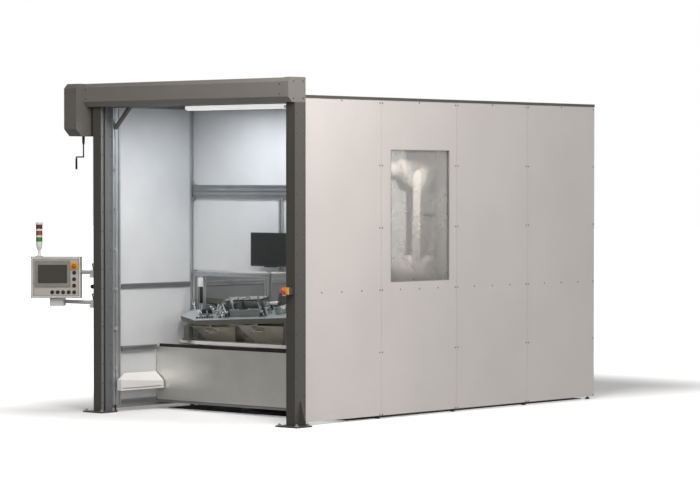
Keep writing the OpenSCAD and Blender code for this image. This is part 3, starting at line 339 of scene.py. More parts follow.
def tower_lenses(low, high):
    """Ribbed lenses in a stack, all unlit: green below, then amber, then red."""
    material, tree, place = new_material("ribbed_signal_lenses")
    height = add(tree, "SeparateXYZ", {0: place}).outputs["Z"]
    part = add(tree, "MapRange", {"Value": height, "From Min": low, "From Max": high})
    colour = add(tree, "ValToRGB", {"Fac": part.outputs["Result"]},
                 [(0.0, "#157d1c"), (0.34, "#8f3a12"), (0.67, "#5c0d0c")], "CONSTANT").outputs[0]
    ribs = add(tree, "TexWave", {"Vector": place, "Scale": wave_scale(5)}, bands_direction="Z")
    return surfaced(material, ribs.outputs["Fac"], 0.5, 1.0,
                    {"Base Color": colour, "Roughness": 0.35, "Coat Weight": 0.1})


safety_glass = veiled_glass("grey_safety_glass", "#dedcda", "#bab8b6", 0.36, 0.14)
dark_screen = screen_glass("dark_screen_glass", "#41403a", 0.16)
monitor_screen = screen_glass("monitor_screen_glass", "#242626", 0.5)
lamp_diffuser = lit_diffuser()
lens_low, lens_high = corners("signal_tower_lenses")
signal_lenses = tower_lenses(lens_low.z, lens_high.z)
print("glass, lamp and lenses made")

# %% [markdown]
# ## Two finishes on one node
# Some nodes carry two finishes: the welded steel pedestal under a white cast base, the yellow lid on the grey box
# of the emergency stop, and the linings, pale but darker grey on the rear wall and with a band of painted shade
# low down in the robot's bay. The partition's rear face is painted lighter, as painted light. Each column is one
# folded box: its front is painted darker than its flank as painted shade, and the left flank carries a painted
# highlight, a black band of painted shade in its slot and a grey-blue tone behind it. The material switches
# along one axis instead of asking for a second object.

# %% Two-tone finishes
def two_tone(name, axis, split, below, above, roughness, painted_shade_band=None):
    """A coat in two colours that meet at one height or depth, with a darker band of painted shade where asked."""
    material, tree, place = new_material(name)
    along = add(tree, "SeparateXYZ", {0: place}).outputs[axis]
    over = add(tree, "Math", {0: along, 1: split}, operation="GREATER_THAN")
    drift = add(tree, "TexNoise", {"Vector": place, "Scale": 1 / (300 * MM), "Detail": 3.0})
    lower = add(tree, "ValToRGB", {"Fac": drift.outputs["Fac"]}, [(0.35, below[0]), (0.65, below[1])]).outputs[0]
    upper = add(tree, "ValToRGB", {"Fac": drift.outputs["Fac"]}, [(0.35, above[0]), (0.65, above[1])]).outputs[0]
    colour = add(tree, "Mix", {0: over.outputs[0], 6: lower, 7: upper}, data_type="RGBA").outputs[2]
    if painted_shade_band:
        # the band of painted shade is low down, and behind a line along Y
        height, behind, codes = painted_shade_band
        where = add(tree, "SeparateXYZ", {0: place})
        low = add(tree, "Math", {0: where.outputs["Z"], 1: height}, operation="LESS_THAN")
        back = add(tree, "Math", {0: where.outputs["Y"], 1: behind}, operation="GREATER_THAN")
        both = add(tree, "Math", {0: low.outputs[0], 1: back.outputs[0]}, operation="MULTIPLY")
        band = add(tree, "ValToRGB", {"Fac": drift.outputs["Fac"]}, [(0.35, codes[0]), (0.65, codes[1])]).outputs[0]
        colour = add(tree, "Mix", {0: both.outputs[0], 6: colour, 7: band}, data_type="RGBA").outputs[2]
    fine = add(tree, "TexNoise", {"Vector": place, "Scale": 1 / (4 * MM)})
    return surfaced(material, fine.outputs["Fac"], 0.08, 0.3, {"Base Color": colour, "Roughness": roughness})


def banded_coat(name, axis, low, high, bands, roughness):
    """A coat whose tone changes in steps from low to high along one axis."""
    material, tree, place = new_material(name)
    along = add(tree, "SeparateXYZ", {0: place}).outputs[axis]
    part = add(tree, "MapRange", {"Value": along, "From Min": low, "From Max": high})
    stops = [((start - low) / (high - low), code) for start, code in bands]
    colour = add(tree, "ValToRGB", {"Fac": part.outputs["Result"]}, stops, "CONSTANT").outputs[0]
    peel = add(tree, "TexNoise", {"Vector": place, "Scale": 1 / (2 * MM), "Detail": 3.0})
    return surfaced(material, peel.outputs["Fac"], 0.05, 0.2, {"Base Color": colour, "Roughness": roughness})


column_low, column_high = corners("door_column_left")
FACE_EDGE = column_low.y + 0.0006
SLOT_FRONT = column_low.y + 0.0290
SLOT_BACK = column_low.y + 0.0430
# The left column's flank is painted lighter than its front as painted light, and its slot is a black band of painted
# shade.
left_column_painted_light = banded_coat("left_column_painted_light", "Y", column_low.y, column_high.y,
                               [(column_low.y, "#4b4b47"), (FACE_EDGE, "#74736d"),
                                (SLOT_FRONT, "#1d1d1c"), (SLOT_BACK, "#686b6c")], 0.42)
# The right column's front is painted darker than its flank, as painted shade.
right_column_painted_light = banded_coat("right_column_painted_light", "Y", column_low.y, column_high.y,
                                [(column_low.y, "#413f3b"), (FACE_EDGE, "#4e4c48")], 0.42)
PEDESTAL_TOP = 0.560
pedestal_paint = two_tone("pedestal_and_base_paint", "Z", PEDESTAL_TOP, ("#4c4c48", "#55554f"),
                          ("#dfe1df", "#e6e7e5"), 0.42)
REAR_WALL = 2.955
SHADE_BAND_TOP = 1.16
SHADE_BAND_FRONT = 0.06
# The linings are darker grey on the rear wall, and a band of painted shade darkens them low down in the robot's bay.
lining_faces = two_tone("pale_lining_laminate", "Y", REAR_WALL, ("#d6d8d9", "#d1d3d4"), ("#84868a", "#7e8084"), 0.38,
                        painted_shade_band=(SHADE_BAND_TOP, SHADE_BAND_FRONT, ("#7b7d80", "#747679")))
partition_low, partition_high = corners("partition_panels")
partition_middle = (partition_low.y + partition_high.y) / 2
# The partition's rear face is painted lighter than its front, as painted light.
partition_painted_light_faces = two_tone("partition_painted_light_laminate", "Y", partition_middle, ("#d6d8d9", "#d1d3d4"),
                           ("#f1f0ee", "#ebeae8"), 0.38)
box_low, box_high = corners("column_estop_box")
STOP_LID = 0.020
stop_box_plastic = two_tone("yellow_lid_grey_box", "Y", box_low.y + STOP_LID, ("#e0a32a", "#d89a22"),
                            ("#4a4640", "#44403b"), 0.42)
print("two-tone finishes made")

# %% [markdown]
# ## A finish for every node
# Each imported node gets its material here. The glass comes out of the loader without one worth keeping, so
# every node's slots are cleared first.

# %% Dress the nodes
finish = {
    anthracite_coat: ["anchor_plates", "header_brace", "wall_cap_rails", "monitor_bracket"],
    left_column_painted_light: ["door_column_left"],
    right_column_painted_light: ["door_column_right"],
    header_painted_light_coat: ["header_cover", "header_end_cap"],
    drive_painted_light_coat: ["drive_housing"],
    house_coat: [f"right_wall_panel_{k}" for k in (1, 2, 3, 4)] + ["left_and_rear_panels", "roof_panels"],
    lining_faces: ["wall_linings"],
    partition_painted_light_faces: ["partition_panels"],
    slope_painted_light_coat: ["slope_cover"],
    skirt_sheet: ["skirt_panel"],
    safety_glass: ["window_pane"],
    uprights_painted_light_profile: ["frame_posts", "station_divider"],
    rail_profile: ["frame_rails", "door_bar"],
    tube_aluminium: ["panel_arm"],
    platform_painted_highlight_plate: ["turntable_platform"],
    clip_plastic: ["door_clips"],
    black_cast: ["levelling_feet", "turntable_base"],
    pedestal_paint: ["robot_pedestal"],
    lamp_diffuser: ["ceiling_lamp"],
    white_cast: ["arm_hinge_blocks"],
    white_plastic: ["signal_tower_body"],
    stop_box_plastic: ["column_estop_box"],
    red_plastic: ["column_estop_button"],
    amber_plastic: ["panel_estop_button"],
    black_plastic: ["door_knob", "panel_buttons"],
    monitor_plastic: ["monitor"],
    black_oxide: ["hand_crank", "laser_head"],
    curtain_fabric: ["door_curtain", "curtain_drum"],
    cabinet_coat: ["panel_cabinet"],
    bezel_plastic: ["panel_display"],
    signal_lenses: ["signal_tower_lenses"],
    table_top_painted_shade_plate: ["table_tops"],
    leg_steel: ["table_legs"],
    fixture_steel: ["table_fixtures"],
    bright_steel: ["clamp_lever_left", "clamp_lever_right"],
    tray_sheet: ["tray_left", "tray_middle", "tray_right", "rear_trays"],
    robot_coat: ["robot_turret", "robot_lower_arm", "robot_elbow", "robot_forearm", "robot_wrist"],
}
for material, names in finish.items():
    for name in names:
        nodes[name].data.materials.clear()
        nodes[name].data.materials.append(material)
dressed = sum(len(names) for names in finish.values())
print("dressed", dressed, "of", len(nodes), sorted(set(nodes) - set(sum(finish.values(), []))))

# %% [markdown]
# ## Modelling helpers
# A small fitting is built in a bmesh: a block or a disc is a primitive put in place by a matrix. `finished`
# turns the bmesh into an object that rides on a body of the part and takes one material. It
# could be written out for every piece, but one function keeps the same order of steps for all.

# %% Modelling helpers
WORLD = Matrix.Identity(4)


def local_frame(origin, across, along, up):
    """A matrix from an origin and three axes."""
    matrix = Matrix.Identity(4)
    for column, axis in enumerate((across, along, up)):
        for row in range(3):
            matrix[row][column] = axis[row]
    matrix.translation = Vector(origin)
    return matrix


def facing(origin, direction):
    """A frame whose +Z looks along a direction."""
    turn = Vector(direction).to_track_quat("Z", "Y").to_matrix().to_4x4()
    return Matrix.Translation(Vector(origin)) @ turn


def block(bm, frame_matrix, low, high, bevel=0.0, segments=2):
    """A box between two corners of a local frame, with rounded edges where asked."""
    low, high = Vector(low), Vector(high)
    size = high - low
    place = frame_matrix @ Matrix.Translation((low + high) / 2) @ Matrix.Diagonal((*size, 1.0))
    made = bmesh.ops.create_cube(bm, size=1.0, matrix=place)
    if bevel > 0:
        edges = list({edge for vert in made["verts"] for edge in vert.link_edges})
        bmesh.ops.bevel(bm, geom=edges, offset=bevel, segments=segments, affect="EDGES", profile=0.5, material=-1)


def disc(bm, frame_matrix, radius, height, top=None, segments=16):
    """A round boss standing on the frame's origin, tapered where top is given."""
    place = frame_matrix @ Matrix.Translation((0, 0, height / 2))
    bmesh.ops.create_cone(bm, cap_ends=True, segments=segments, radius1=radius,
                          radius2=radius if top is None else top, depth=height, matrix=place)


def screw(bm, frame_matrix, radius, height):
    """A low domed screw head."""
    disc(bm, frame_matrix, radius, height * 0.5, radius * 0.96, 10)
    disc(bm, frame_matrix @ Matrix.Translation((0, 0, height * 0.5)), radius * 0.96, height * 0.5, radius * 0.55, 10)


def finished(name, bm, material, body, smooth=35.0):
    """Closes a bmesh into a finished object that rides on a body, or on none."""
    bmesh.ops.recalc_face_normals(bm, faces=bm.faces)
    mesh = bpy.data.meshes.new(name)
    bm.to_mesh(mesh)
    bm.free()
    mesh.polygons.foreach_set("use_smooth", [True] * len(mesh.polygons))
    mesh.set_sharp_from_angle(angle=math.radians(smooth))
    mesh.materials.append(material)
    obj = bpy.data.objects.new(name, mesh)
    scene.collection.objects.link(obj)
    if body:
        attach(obj, body)
    print(name, len(mesh.polygons), "faces")
    return obj


print("modelling helpers ready")

# %% [markdown]
# ## Panel screws
# The wall panels are held along their seams by pairs of small domed screws, one pair every half metre or
# so, and by a few more along the middle rail and the top. Each screw is only two dozen faces, because there
# are so many of them, and they are one object.

# %% Panel screws
wall_low, wall_high = corners("right_wall_panel_1")
rear_low, rear_high = corners("left_and_rear_panels")
SIDE_PANELS = 4
SEAM_PITCH = wall_high.y - wall_low.y + 0.0015
SEAM_OFFSET = 0.017
ROW_PITCH = 0.528
FIRST_ROW = wall_low.z + 0.008
TOP_ROW = wall_high.z - 0.012
ROW_HEIGHTS = [min(FIRST_ROW + row * ROW_PITCH, TOP_ROW) for row in range(6)]
REAR_PLACES = (-1.10, -0.56, -SEAM_OFFSET, SEAM_OFFSET, 0.56, 1.10)
WALL_SCREW = (0.0075, 0.0035)


def screw_places():
    """Distances along a wall and heights of the screws of one side wall."""
    places = []
    seams = [wall_low.y + k * SEAM_PITCH for k in range(SIDE_PANELS + 1)]
    for height in ROW_HEIGHTS:
        for seam in seams:
            for along in (seam - SEAM_OFFSET, seam + SEAM_OFFSET):
                if wall_low.y < along < rear_high.y - 0.005:
                    places.append((along, height))
    for panel in range(SIDE_PANELS):
        for quarter in (1, 2, 3):
            places.append((wall_low.y + (panel + quarter / 4) * SEAM_PITCH, ROW_HEIGHTS[2]))
        places.append((wall_low.y + (panel + 0.5) * SEAM_PITCH, TOP_ROW))
    return places


bm = bmesh.new()
for along, height in screw_places():
    screw(bm, facing((wall_high.x, along, height), (1, 0, 0)), *WALL_SCREW)
    screw(bm, facing((rear_low.x, along, height), (-1, 0, 0)), *WALL_SCREW)
for height in ROW_HEIGHTS:
    for across in REAR_PLACES:
        screw(bm, facing((across, rear_high.y, height), (0, 1, 0)), *WALL_SCREW)
finished("wall_screws", bm, panel_screws_painted_shade, "root")

# %% [markdown]
# ## Lamp cover
# The ceiling lamp is a slim steel tray with an opal acrylic trough clipped under it. The trough is drawn as
# half an outline that is swept along the lamp, and its two ends are closed by moulded caps.

# %% Lamp cover
lamp_low, lamp_high = corners("ceiling_lamp")
TROUGH_DEEP = 0.030
TROUGH_HALF = (lamp_high.y - lamp_low.y) / 2 - 0.003
TROUGH_STEPS = 10
CAP_THICK = 0.006
CAP_INSET = 0.002
trough_y = (lamp_high.y + lamp_low.y) / 2
bm = bmesh.new()
rim = []
for k in range(TROUGH_STEPS + 1):
    angle = math.pi * k / TROUGH_STEPS
    rim.append(bm.verts.new((lamp_low.x + CAP_THICK, trough_y - TROUGH_HALF * math.cos(angle),
                             lamp_low.z - TROUGH_DEEP * math.sin(angle))))
swept = bmesh.ops.extrude_face_region(bm, geom=[bm.faces.new(rim)])
far_verts = [item for item in swept["geom"] if isinstance(item, bmesh.types.BMVert)]
bmesh.ops.translate(bm, verts=far_verts, vec=(lamp_high.x - lamp_low.x - 2 * CAP_THICK, 0, 0))
finished("lamp_cover", bm, lamp_diffuser, "root")

bm = bmesh.new()
for x in (lamp_low.x, lamp_high.x - CAP_THICK):
    block(bm, WORLD, (x, lamp_low.y + CAP_INSET, lamp_low.z - TROUGH_DEEP * 0.8),
          (x + CAP_THICK, lamp_high.y - CAP_INSET, lamp_low.z), 0.002)
finished("lamp_end_caps", bm, white_plastic, "root")

# %% [markdown]
# ## Painted floor shadow
# The inside of the machine is in shade, so the gap under the skirt looks dark. A thin black slab on the floor
# stands for that shade as painted shadow; its edge is rounded and it is cut to the inside of the walls.

# %% Painted floor shadow
SHADOW_SHEET_FRONT = -0.35
SHADOW_SHEET_HALF = 1.06
SHADOW_SHEET_REAR = 2.93
SHADOW_SHEET_THICK = 0.005
bm = bmesh.new()
block(bm, WORLD, (-SHADOW_SHEET_HALF, SHADOW_SHEET_FRONT, 0.0), (SHADOW_SHEET_HALF, SHADOW_SHEET_REAR, SHADOW_SHEET_THICK), 0.002)
finished("floor_painted_shadow", bm, black_rubber, "root")

# %% [markdown]
# ## Skirt shadow strip
# Between the fixed skirt and the turning platform lies a band of shade. A black strip on the skirt's upper edge
# stands for it as painted shadow: a low folded base and a thin slab above it that stops just under the platform.

# %% Skirt shadow strip
skirt_low, skirt_high = corners("skirt_panel")
platform_low = corners("turntable_platform")[0]
STRIP_BASE = 0.008
STRIP_GAP = 0.003
shadow_strip_left, shadow_strip_right = skirt_low.x + 0.03, skirt_high.x - 0.03
bm = bmesh.new()
block(bm, WORLD, (shadow_strip_left, skirt_low.y, skirt_high.z),
      (shadow_strip_right, skirt_low.y + STRIP_BASE, skirt_high.z + STRIP_BASE), 0.001, 1)
block(bm, WORLD, (shadow_strip_left, skirt_low.y + 0.002, skirt_high.z + STRIP_BASE),
      (shadow_strip_right, skirt_low.y + 0.006, platform_low.z - STRIP_GAP), 0.001, 1)
finished("skirt_painted_shadow_strip", bm, black_rubber, "root")
print("brush from", round(skirt_high.z, 3), "to", round(platform_low.z, 3))

# %% [markdown]
# ## Window seal
# The safety pane sits in a rubber profile that shows as a narrow dark line round the opening. It is a
# closed frame with a rounded lip: four blocks would show their corners, so one face is inset, the middle is
# deleted, and the ring is given its thickness.

# %% Window seal
pane_low, pane_high = corners("window_pane")
LIP = 0.009
SEAL_WIDTH = 0.007
SEAL_DEPTH = 0.0065
SEAL_SUNK = 0.006


def ring_frame(bm, frame_matrix, low, high, width, depth):
    """A rectangular frame in the local XY plane, raised along Z."""
    corners_2d = [(low[0], low[1]), (high[0], low[1]), (high[0], high[1]), (low[0], high[1])]
    face = bm.faces.new([bm.verts.new(frame_matrix @ Vector((x, y, 0))) for x, y in corners_2d])
    face.normal_update()
    ring = bmesh.ops.inset_individual(bm, faces=[face], thickness=width, use_even_offset=True)["faces"]
    bmesh.ops.delete(bm, geom=[face], context="FACES_ONLY")
    raised = bmesh.ops.extrude_face_region(bm, geom=ring)
    lift = frame_matrix.to_3x3() @ Vector((0, 0, depth))
    bmesh.ops.translate(bm, verts=[v for v in raised["geom"] if isinstance(v, bmesh.types.BMVert)], vec=lift)


seal_frame = local_frame((wall_high.x - SEAL_SUNK, 0, 0), (0, 1, 0), (0, 0, 1), (1, 0, 0))
bm = bmesh.new()
ring_frame(bm, seal_frame, (pane_low.y + LIP, pane_low.z + LIP), (pane_high.y - LIP, pane_high.z - LIP),
           SEAL_WIDTH, SEAL_DEPTH)
finished("window_seal", bm, bezel_plastic, "root")

# %% [markdown]
# ## Door columns
# The columns are bolted to the frame through rows of small screws, in the flank and in the front face. The
# screws could be an array modifier on one head, but a loop puts the two columns and all four rows into one
# light object.

# %% Column screws
right_low, right_high = corners("door_column_right")
COLUMN_SCREWS = 16
END_GAP = 0.09
FLANK_ROWS = (0.020, 0.112)
FACE_ROWS = (0.016, 0.082)
bm = bmesh.new()
for k in range(COLUMN_SCREWS):
    height = END_GAP + k * (column_high.z - 2 * END_GAP) / (COLUMN_SCREWS - 1)
    for low, high in ((column_low, column_high), (right_low, right_high)):
        for inset in FLANK_ROWS:
            screw(bm, facing((high.x, low.y + inset, height), (1, 0, 0)), 0.0045, 0.002)
        for inset in FACE_ROWS:
            screw(bm, facing((low.x + inset, low.y, height), (0, -1, 0)), 0.0035, 0.002)
finished("column_screws", bm, black_oxide, "root")

# %% [markdown]
# ## Floor anchors
# Each column stands on a floor plate with four anchors. An anchor shows as a washer, a hexagon nut and the
# rounded end of its bolt, and three short cones on one axis give all three.

# %% Floor anchors
def hex_bolt(bm, frame_matrix, across, height):
    """A washer under a hexagon head, with the bolt's rounded end above."""
    disc(bm, frame_matrix, across * 0.95, 0.003, segments=20)
    disc(bm, frame_matrix @ Matrix.Translation((0, 0, 0.003)), across * 0.577, height, across * 0.54, 6)
    disc(bm, frame_matrix @ Matrix.Translation((0, 0, height)), across * 0.32, height, across * 0.26, 12)


plate_low, plate_high = corners("anchor_plates")
PLATE_TOP = 0.012
PLATE_HALF = 0.120
ANCHOR_DX = 0.095
ANCHOR_DY = 0.070
plate_y = (plate_low.y + plate_high.y) / 2
bm = bmesh.new()
for side, sx, sy in itertools.product((-1, 1), repeat=3):
    place = (side * (plate_high.x - PLATE_HALF) + sx * ANCHOR_DX, plate_y + sy * ANCHOR_DY, PLATE_TOP)
    hex_bolt(bm, Matrix.Translation(place), 0.024, 0.010)
finished("anchor_bolts", bm, zinc_steel, "root")

# %% [markdown]
# ## Header screws
# The covers of the header and of the drive come off for service, so each is held at its corners by domed
# screws that stand proud of the coat. Every group is four places on one face, so a small helper mixes the
# two distances along each edge.

# %% Header and drive screws
header_low, header_high = corners("header_cover")
cap_high = corners("header_end_cap")[1]
drive_low, drive_high = corners("drive_housing")


def corner_screws(bm, xs, ys, zs, direction, radius):
    """A screw at every mix of the given distances, on a face that looks along a direction."""
    for place in itertools.product(xs, ys, zs):
        screw(bm, facing(place, direction), radius, 0.003)


bm = bmesh.new()
corner_screws(bm, (header_low.x + 0.03, header_high.x - 0.03), (header_low.y,),
              (header_low.z + 0.065, header_high.z - 0.055), (0, -1, 0), 0.006)
corner_screws(bm, (cap_high.x,), (header_low.y + 0.06, header_high.y - 0.03),
              (header_low.z + 0.03, header_high.z - 0.03), (1, 0, 0), 0.006)
drive_rows = (drive_low.z + 0.10, drive_high.z - 0.08)
corner_screws(bm, (drive_low.x + 0.02, drive_high.x - 0.02), (drive_low.y,), drive_rows, (0, -1, 0), 0.005)
corner_screws(bm, (drive_low.x,), (drive_low.y + 0.09, drive_high.y - 0.03), drive_rows, (-1, 0, 0), 0.005)
finished("header_screws", bm, black_oxide, "root")

# %% [markdown]
# ## Roller curtain
# The door is a coated fabric sheet that unrolls from its drum behind the header. Its edges carry a welded bead
# that runs in the slot of each column. At rest only a short stretch shows above the bottom bar. It is one sheet
# of many rows that rides on no body, and it stands for the short packed stretch.

# %% Roller curtain
CURTAIN_ROWS = 46
BEAD_WIDTH = 0.008
BEAD_HALF = 0.003
BEAD_END = 0.012
curtain_low, curtain_high = corners("door_curtain")
curtain_mid = (curtain_low.y + curtain_high.y) / 2
bm = bmesh.new()
block(bm, WORLD, curtain_low, curtain_high)
for side_x in (curtain_low.x, curtain_high.x - BEAD_WIDTH):
    block(bm, WORLD, (side_x, curtain_mid - BEAD_HALF, curtain_low.z),
          (side_x + BEAD_WIDTH, curtain_mid + BEAD_HALF, curtain_high.z - BEAD_END))
upright_edges = [e for e in bm.edges if abs(e.verts[0].co.z - e.verts[1].co.z) > 0.01]
bmesh.ops.subdivide_edges(bm, edges=upright_edges, cuts=CURTAIN_ROWS, use_grid_fill=True)
curtain = finished("roller_curtain", bm, curtain_fabric, None)
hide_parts("door_curtain")
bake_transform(curtain)

# %% [markdown]
# ## Operator panel
# The panel's front carries a touch screen in a plastic bezel, eight push buttons and an emergency stop on a
# yellow plate. Everything here is placed in the panel's own frame: its origin is the middle of the front
# face's lower edge, X runs along the face and Z goes up.

# %% Panel frame
PANEL_TURN = math.radians(41)
PANEL_WIDTH = 0.440
PANEL_DEPTH = 0.090
UP = Vector((0, 0, 1))
cabinet_low, cabinet_high = corners("panel_cabinet")
estop_low, estop_high = corners("panel_estop_button")
PANEL_HEIGHT = cabinet_high.z - cabinet_low.z
PANEL_HALF = PANEL_WIDTH / 2
face_across = Vector((math.cos(PANEL_TURN), math.sin(PANEL_TURN), 0))
face_inward = Vector((-math.sin(PANEL_TURN), math.cos(PANEL_TURN), 0))
middle = (cabinet_low + cabinet_high) / 2
panel_origin = Vector((middle.x, middle.y, cabinet_low.z)) - face_inward * PANEL_DEPTH / 2
panel = local_frame(panel_origin, face_across, UP.cross(face_across), UP)
BUTTON_X = 0.159
ESTOP_Z = (estop_low.z + estop_high.z) / 2 - cabinet_low.z


def on_panel(across, height, sunk=0.0):
    """A place on the panel's front, whose Z looks out of the face."""
    return panel @ Matrix.Translation((across, sunk, height)) @ Matrix.Rotation(math.pi / 2, 4, "X")


print("panel origin", [round(v, 3) for v in panel_origin], "estop height", round(ESTOP_Z, 3))

# %% [markdown]
# ## Touch screen and yellow plate
# The screen is a pane of dark glass just behind the bezel, and the emergency stop stands on a plate of
# yellow plastic. Both are thin slabs, and a small bevel lets their edges catch a line of light.

# %% Touch screen and yellow plate
DISPLAY_LEFT = 0.034 - PANEL_HALF
DISPLAY_TOP = PANEL_HEIGHT - 0.034
DISPLAY_SIZE = (0.312, 0.230)
BEZEL_SIDE, BEZEL_TOP, BEZEL_FOOT = 0.028, 0.036, 0.032
bm = bmesh.new()
block(bm, panel, (DISPLAY_LEFT + BEZEL_SIDE, -0.0045, DISPLAY_TOP - DISPLAY_SIZE[1] + BEZEL_FOOT),
      (DISPLAY_LEFT + DISPLAY_SIZE[0] - BEZEL_SIDE, -0.0028, DISPLAY_TOP - BEZEL_TOP), 0.0006, 1)
finished("touch_screen", bm, dark_screen, "operator_arm")

YELLOW_HALF = (0.034, 0.030)
bm = bmesh.new()
block(bm, panel, (BUTTON_X - YELLOW_HALF[0], -0.0022, ESTOP_Z - YELLOW_HALF[1]),
      (BUTTON_X + YELLOW_HALF[0], 0.0031, ESTOP_Z + YELLOW_HALF[1]), 0.0008, 1)
finished("estop_plate", bm, yellow_plastic, "operator_arm")

# %% [markdown]
# ## Button collars and cabinet back
# Each push button is a threaded barrel that a black collar holds to the sheet. A collar is a ring, so it is
# half an outline spun about the button's axis. The cabinet is closed by a back plate, and six small screws
# hold its front.

# %% Button collars, screws and back plate
CLOSE = 0.00001


def turned(bm, frame_matrix, outline, steps=32):
    """A half outline of (radius, height) points spun about the frame's Z."""
    verts = [bm.verts.new(frame_matrix @ Vector((radius, 0, height))) for radius, height in outline]
    edges = [bm.edges.new(pair) for pair in zip(verts, verts[1:])]
    axis = frame_matrix.to_3x3() @ Vector((0, 0, 1))
    bmesh.ops.spin(bm, geom=verts + edges, cent=frame_matrix.translation, axis=axis, angle=2 * math.pi,
                   steps=steps, use_merge=True)
    bmesh.ops.remove_doubles(bm, verts=bm.verts, dist=CLOSE)


ROW_Z = 0.052
BUTTON_PITCH = 0.048
COLUMN_PITCH = 0.057
SCREW_INSET = 0.007
BACK_INSET = 0.03
button_places = [(BUTTON_X - k * BUTTON_PITCH, ROW_Z) for k in range(5)]
button_places += [(BUTTON_X, ROW_Z + k * COLUMN_PITCH) for k in (1, 2, 3)]
bm = bmesh.new()
for across, height in button_places:
    turned(bm, on_panel(across, height, 0.003),
           [(0.0150, 0.0), (0.0172, 0.0), (0.0172, 0.0035), (0.0162, 0.0050), (0.0150, 0.0050), (0.0150, 0.0)], 24)
finished("button_collars", bm, black_plastic, "operator_arm")

bm = bmesh.new()
for across in (SCREW_INSET - PANEL_HALF, PANEL_HALF - SCREW_INSET):
    for height in (SCREW_INSET, PANEL_HEIGHT / 2, PANEL_HEIGHT - SCREW_INSET):
        screw(bm, on_panel(across, height), 0.0035, 0.0018)
block(bm, panel, (BACK_INSET - PANEL_HALF, PANEL_DEPTH, BACK_INSET),
      (PANEL_HALF - BACK_INSET, PANEL_DEPTH + 0.0025, PANEL_HEIGHT - BACK_INSET), 0.001, 1)
finished("panel_back_and_screws", bm, cabinet_coat, "operator_arm")

# %% [markdown]
# ## Panel rim
# A pale moulded rim frames the panel's front, between two thin black rings that stand for the shadow gaps round it
# as painted shadow. All three are flat rings of their own width and thickness, so one ring helper makes them at
# three distances from the panel's edge.

# %% Panel rim
def panel_ring(bm, inset, width, depth):
    """A flat ring on the panel's front, at a distance from its edge."""
    ring_frame(bm, on_panel(0, 0), (inset - PANEL_HALF, inset), (PANEL_HALF - inset, PANEL_HEIGHT - inset),
               width, depth)


bm = bmesh.new()
panel_ring(bm, 0.0055, 0.010, 0.004)
finished("panel_rim", bm, trim_plastic, "operator_arm")
bm = bmesh.new()
panel_ring(bm, 0.0008, 0.0045, 0.0025)
panel_ring(bm, 0.0158, 0.0035, 0.0015)
finished("panel_painted_shadow_gaps", bm, black_rubber, "operator_arm")

# %% [markdown]
# ## Signal tower
# The tower is a stack of moulded parts. Its cap has a circle of small dimples that help the hand to
# unscrew it, and its stem stands in a turned sleeve with a bell foot. The sleeve's whole shape is in its half
# outline, so it is spun.

# %% Signal tower cap and stem
tower_low, tower_high = corners("signal_tower_body")
tower_mid = (tower_low + tower_high) / 2
DIMPLES = 12
DIMPLE_CIRCLE = ((lens_high.x - lens_low.x) / 2 - 0.002) * 0.6
bm = bmesh.new()
for k in range(DIMPLES):
    turn = 2 * math.pi * k / DIMPLES
    screw(bm, Matrix.Translation((tower_mid.x + DIMPLE_CIRCLE * math.cos(turn),
                                  tower_mid.y + DIMPLE_CIRCLE * math.sin(turn), tower_high.z - 0.0005)), 0.002, 0.001)
finished("tower_cap_dimples", bm, white_plastic, "operator_arm")

bm = bmesh.new()
turned(bm, Matrix.Translation((tower_mid.x, tower_mid.y, tower_low.z)),
       [(0.0105, 0.003), (0.033, 0.0045), (0.030, 0.009), (0.016, 0.014), (0.0135, 0.022), (0.0135, 0.052),
        (0.0105, 0.056), (0.0105, 0.003)], 32)
finished("tower_stem_sleeve", bm, white_plastic, "operator_arm")

# %% [markdown]
# ## Emergency-stop box
# The emergency stop on the right column has a yellow lid on a dark grey box, and four screws hold the lid.
# They are placed from the middle of the box, so they follow it.

# %% Emergency-stop screws
box_mid = (box_low + box_high) / 2
bm = bmesh.new()
for sx, sz in itertools.product((-1, 1), repeat=2):
    screw(bm, facing((box_mid.x + sx * 0.025, box_low.y + 0.006, box_mid.z + sz * 0.023), (0, -1, 0)), 0.003, 0.0015)
finished("estop_box_screws", bm, zinc_steel, "root")

# %% [markdown]
# ## Hinge leads
# At the arm's two hinge blocks a lead runs over the joint in a short rubber sleeve. It is held at both
# ends, so its arc is set by its fittings and not by its weight. A round bevel on a smooth curve gives the
# sleeve, and the curve is made a mesh before it is closed like every other piece.

# %% Hinge leads
def soft_tube(name, points, radius, material, body, resolution=8):
    """A held lead or hose along a smooth curve, as a mesh."""
    curve = bpy.data.curves.new(name + "_path", "CURVE")
    curve.dimensions = "3D"
    curve.bevel_depth = radius
    curve.bevel_resolution = 3
    curve.use_fill_caps = True
    spline = curve.splines.new("NURBS")
    spline.points.add(len(points) - 1)
    for point, place in zip(spline.points, points):
        point.co = (*place, 1.0)
    spline.order_u = 4
    spline.use_endpoint_u = True
    spline.resolution_u = resolution
    helper = bpy.data.objects.new(name + "_path", curve)
    scene.collection.objects.link(helper)
    bpy.context.view_layer.update()
    graph = bpy.context.evaluated_depsgraph_get()
    mesh = bpy.data.meshes.new_from_object(helper.evaluated_get(graph))
    bpy.data.objects.remove(helper)
    bm = bmesh.new()
    bm.from_mesh(mesh)
    bpy.data.meshes.remove(mesh)
    return finished(name, bm, material, body, 60.0)


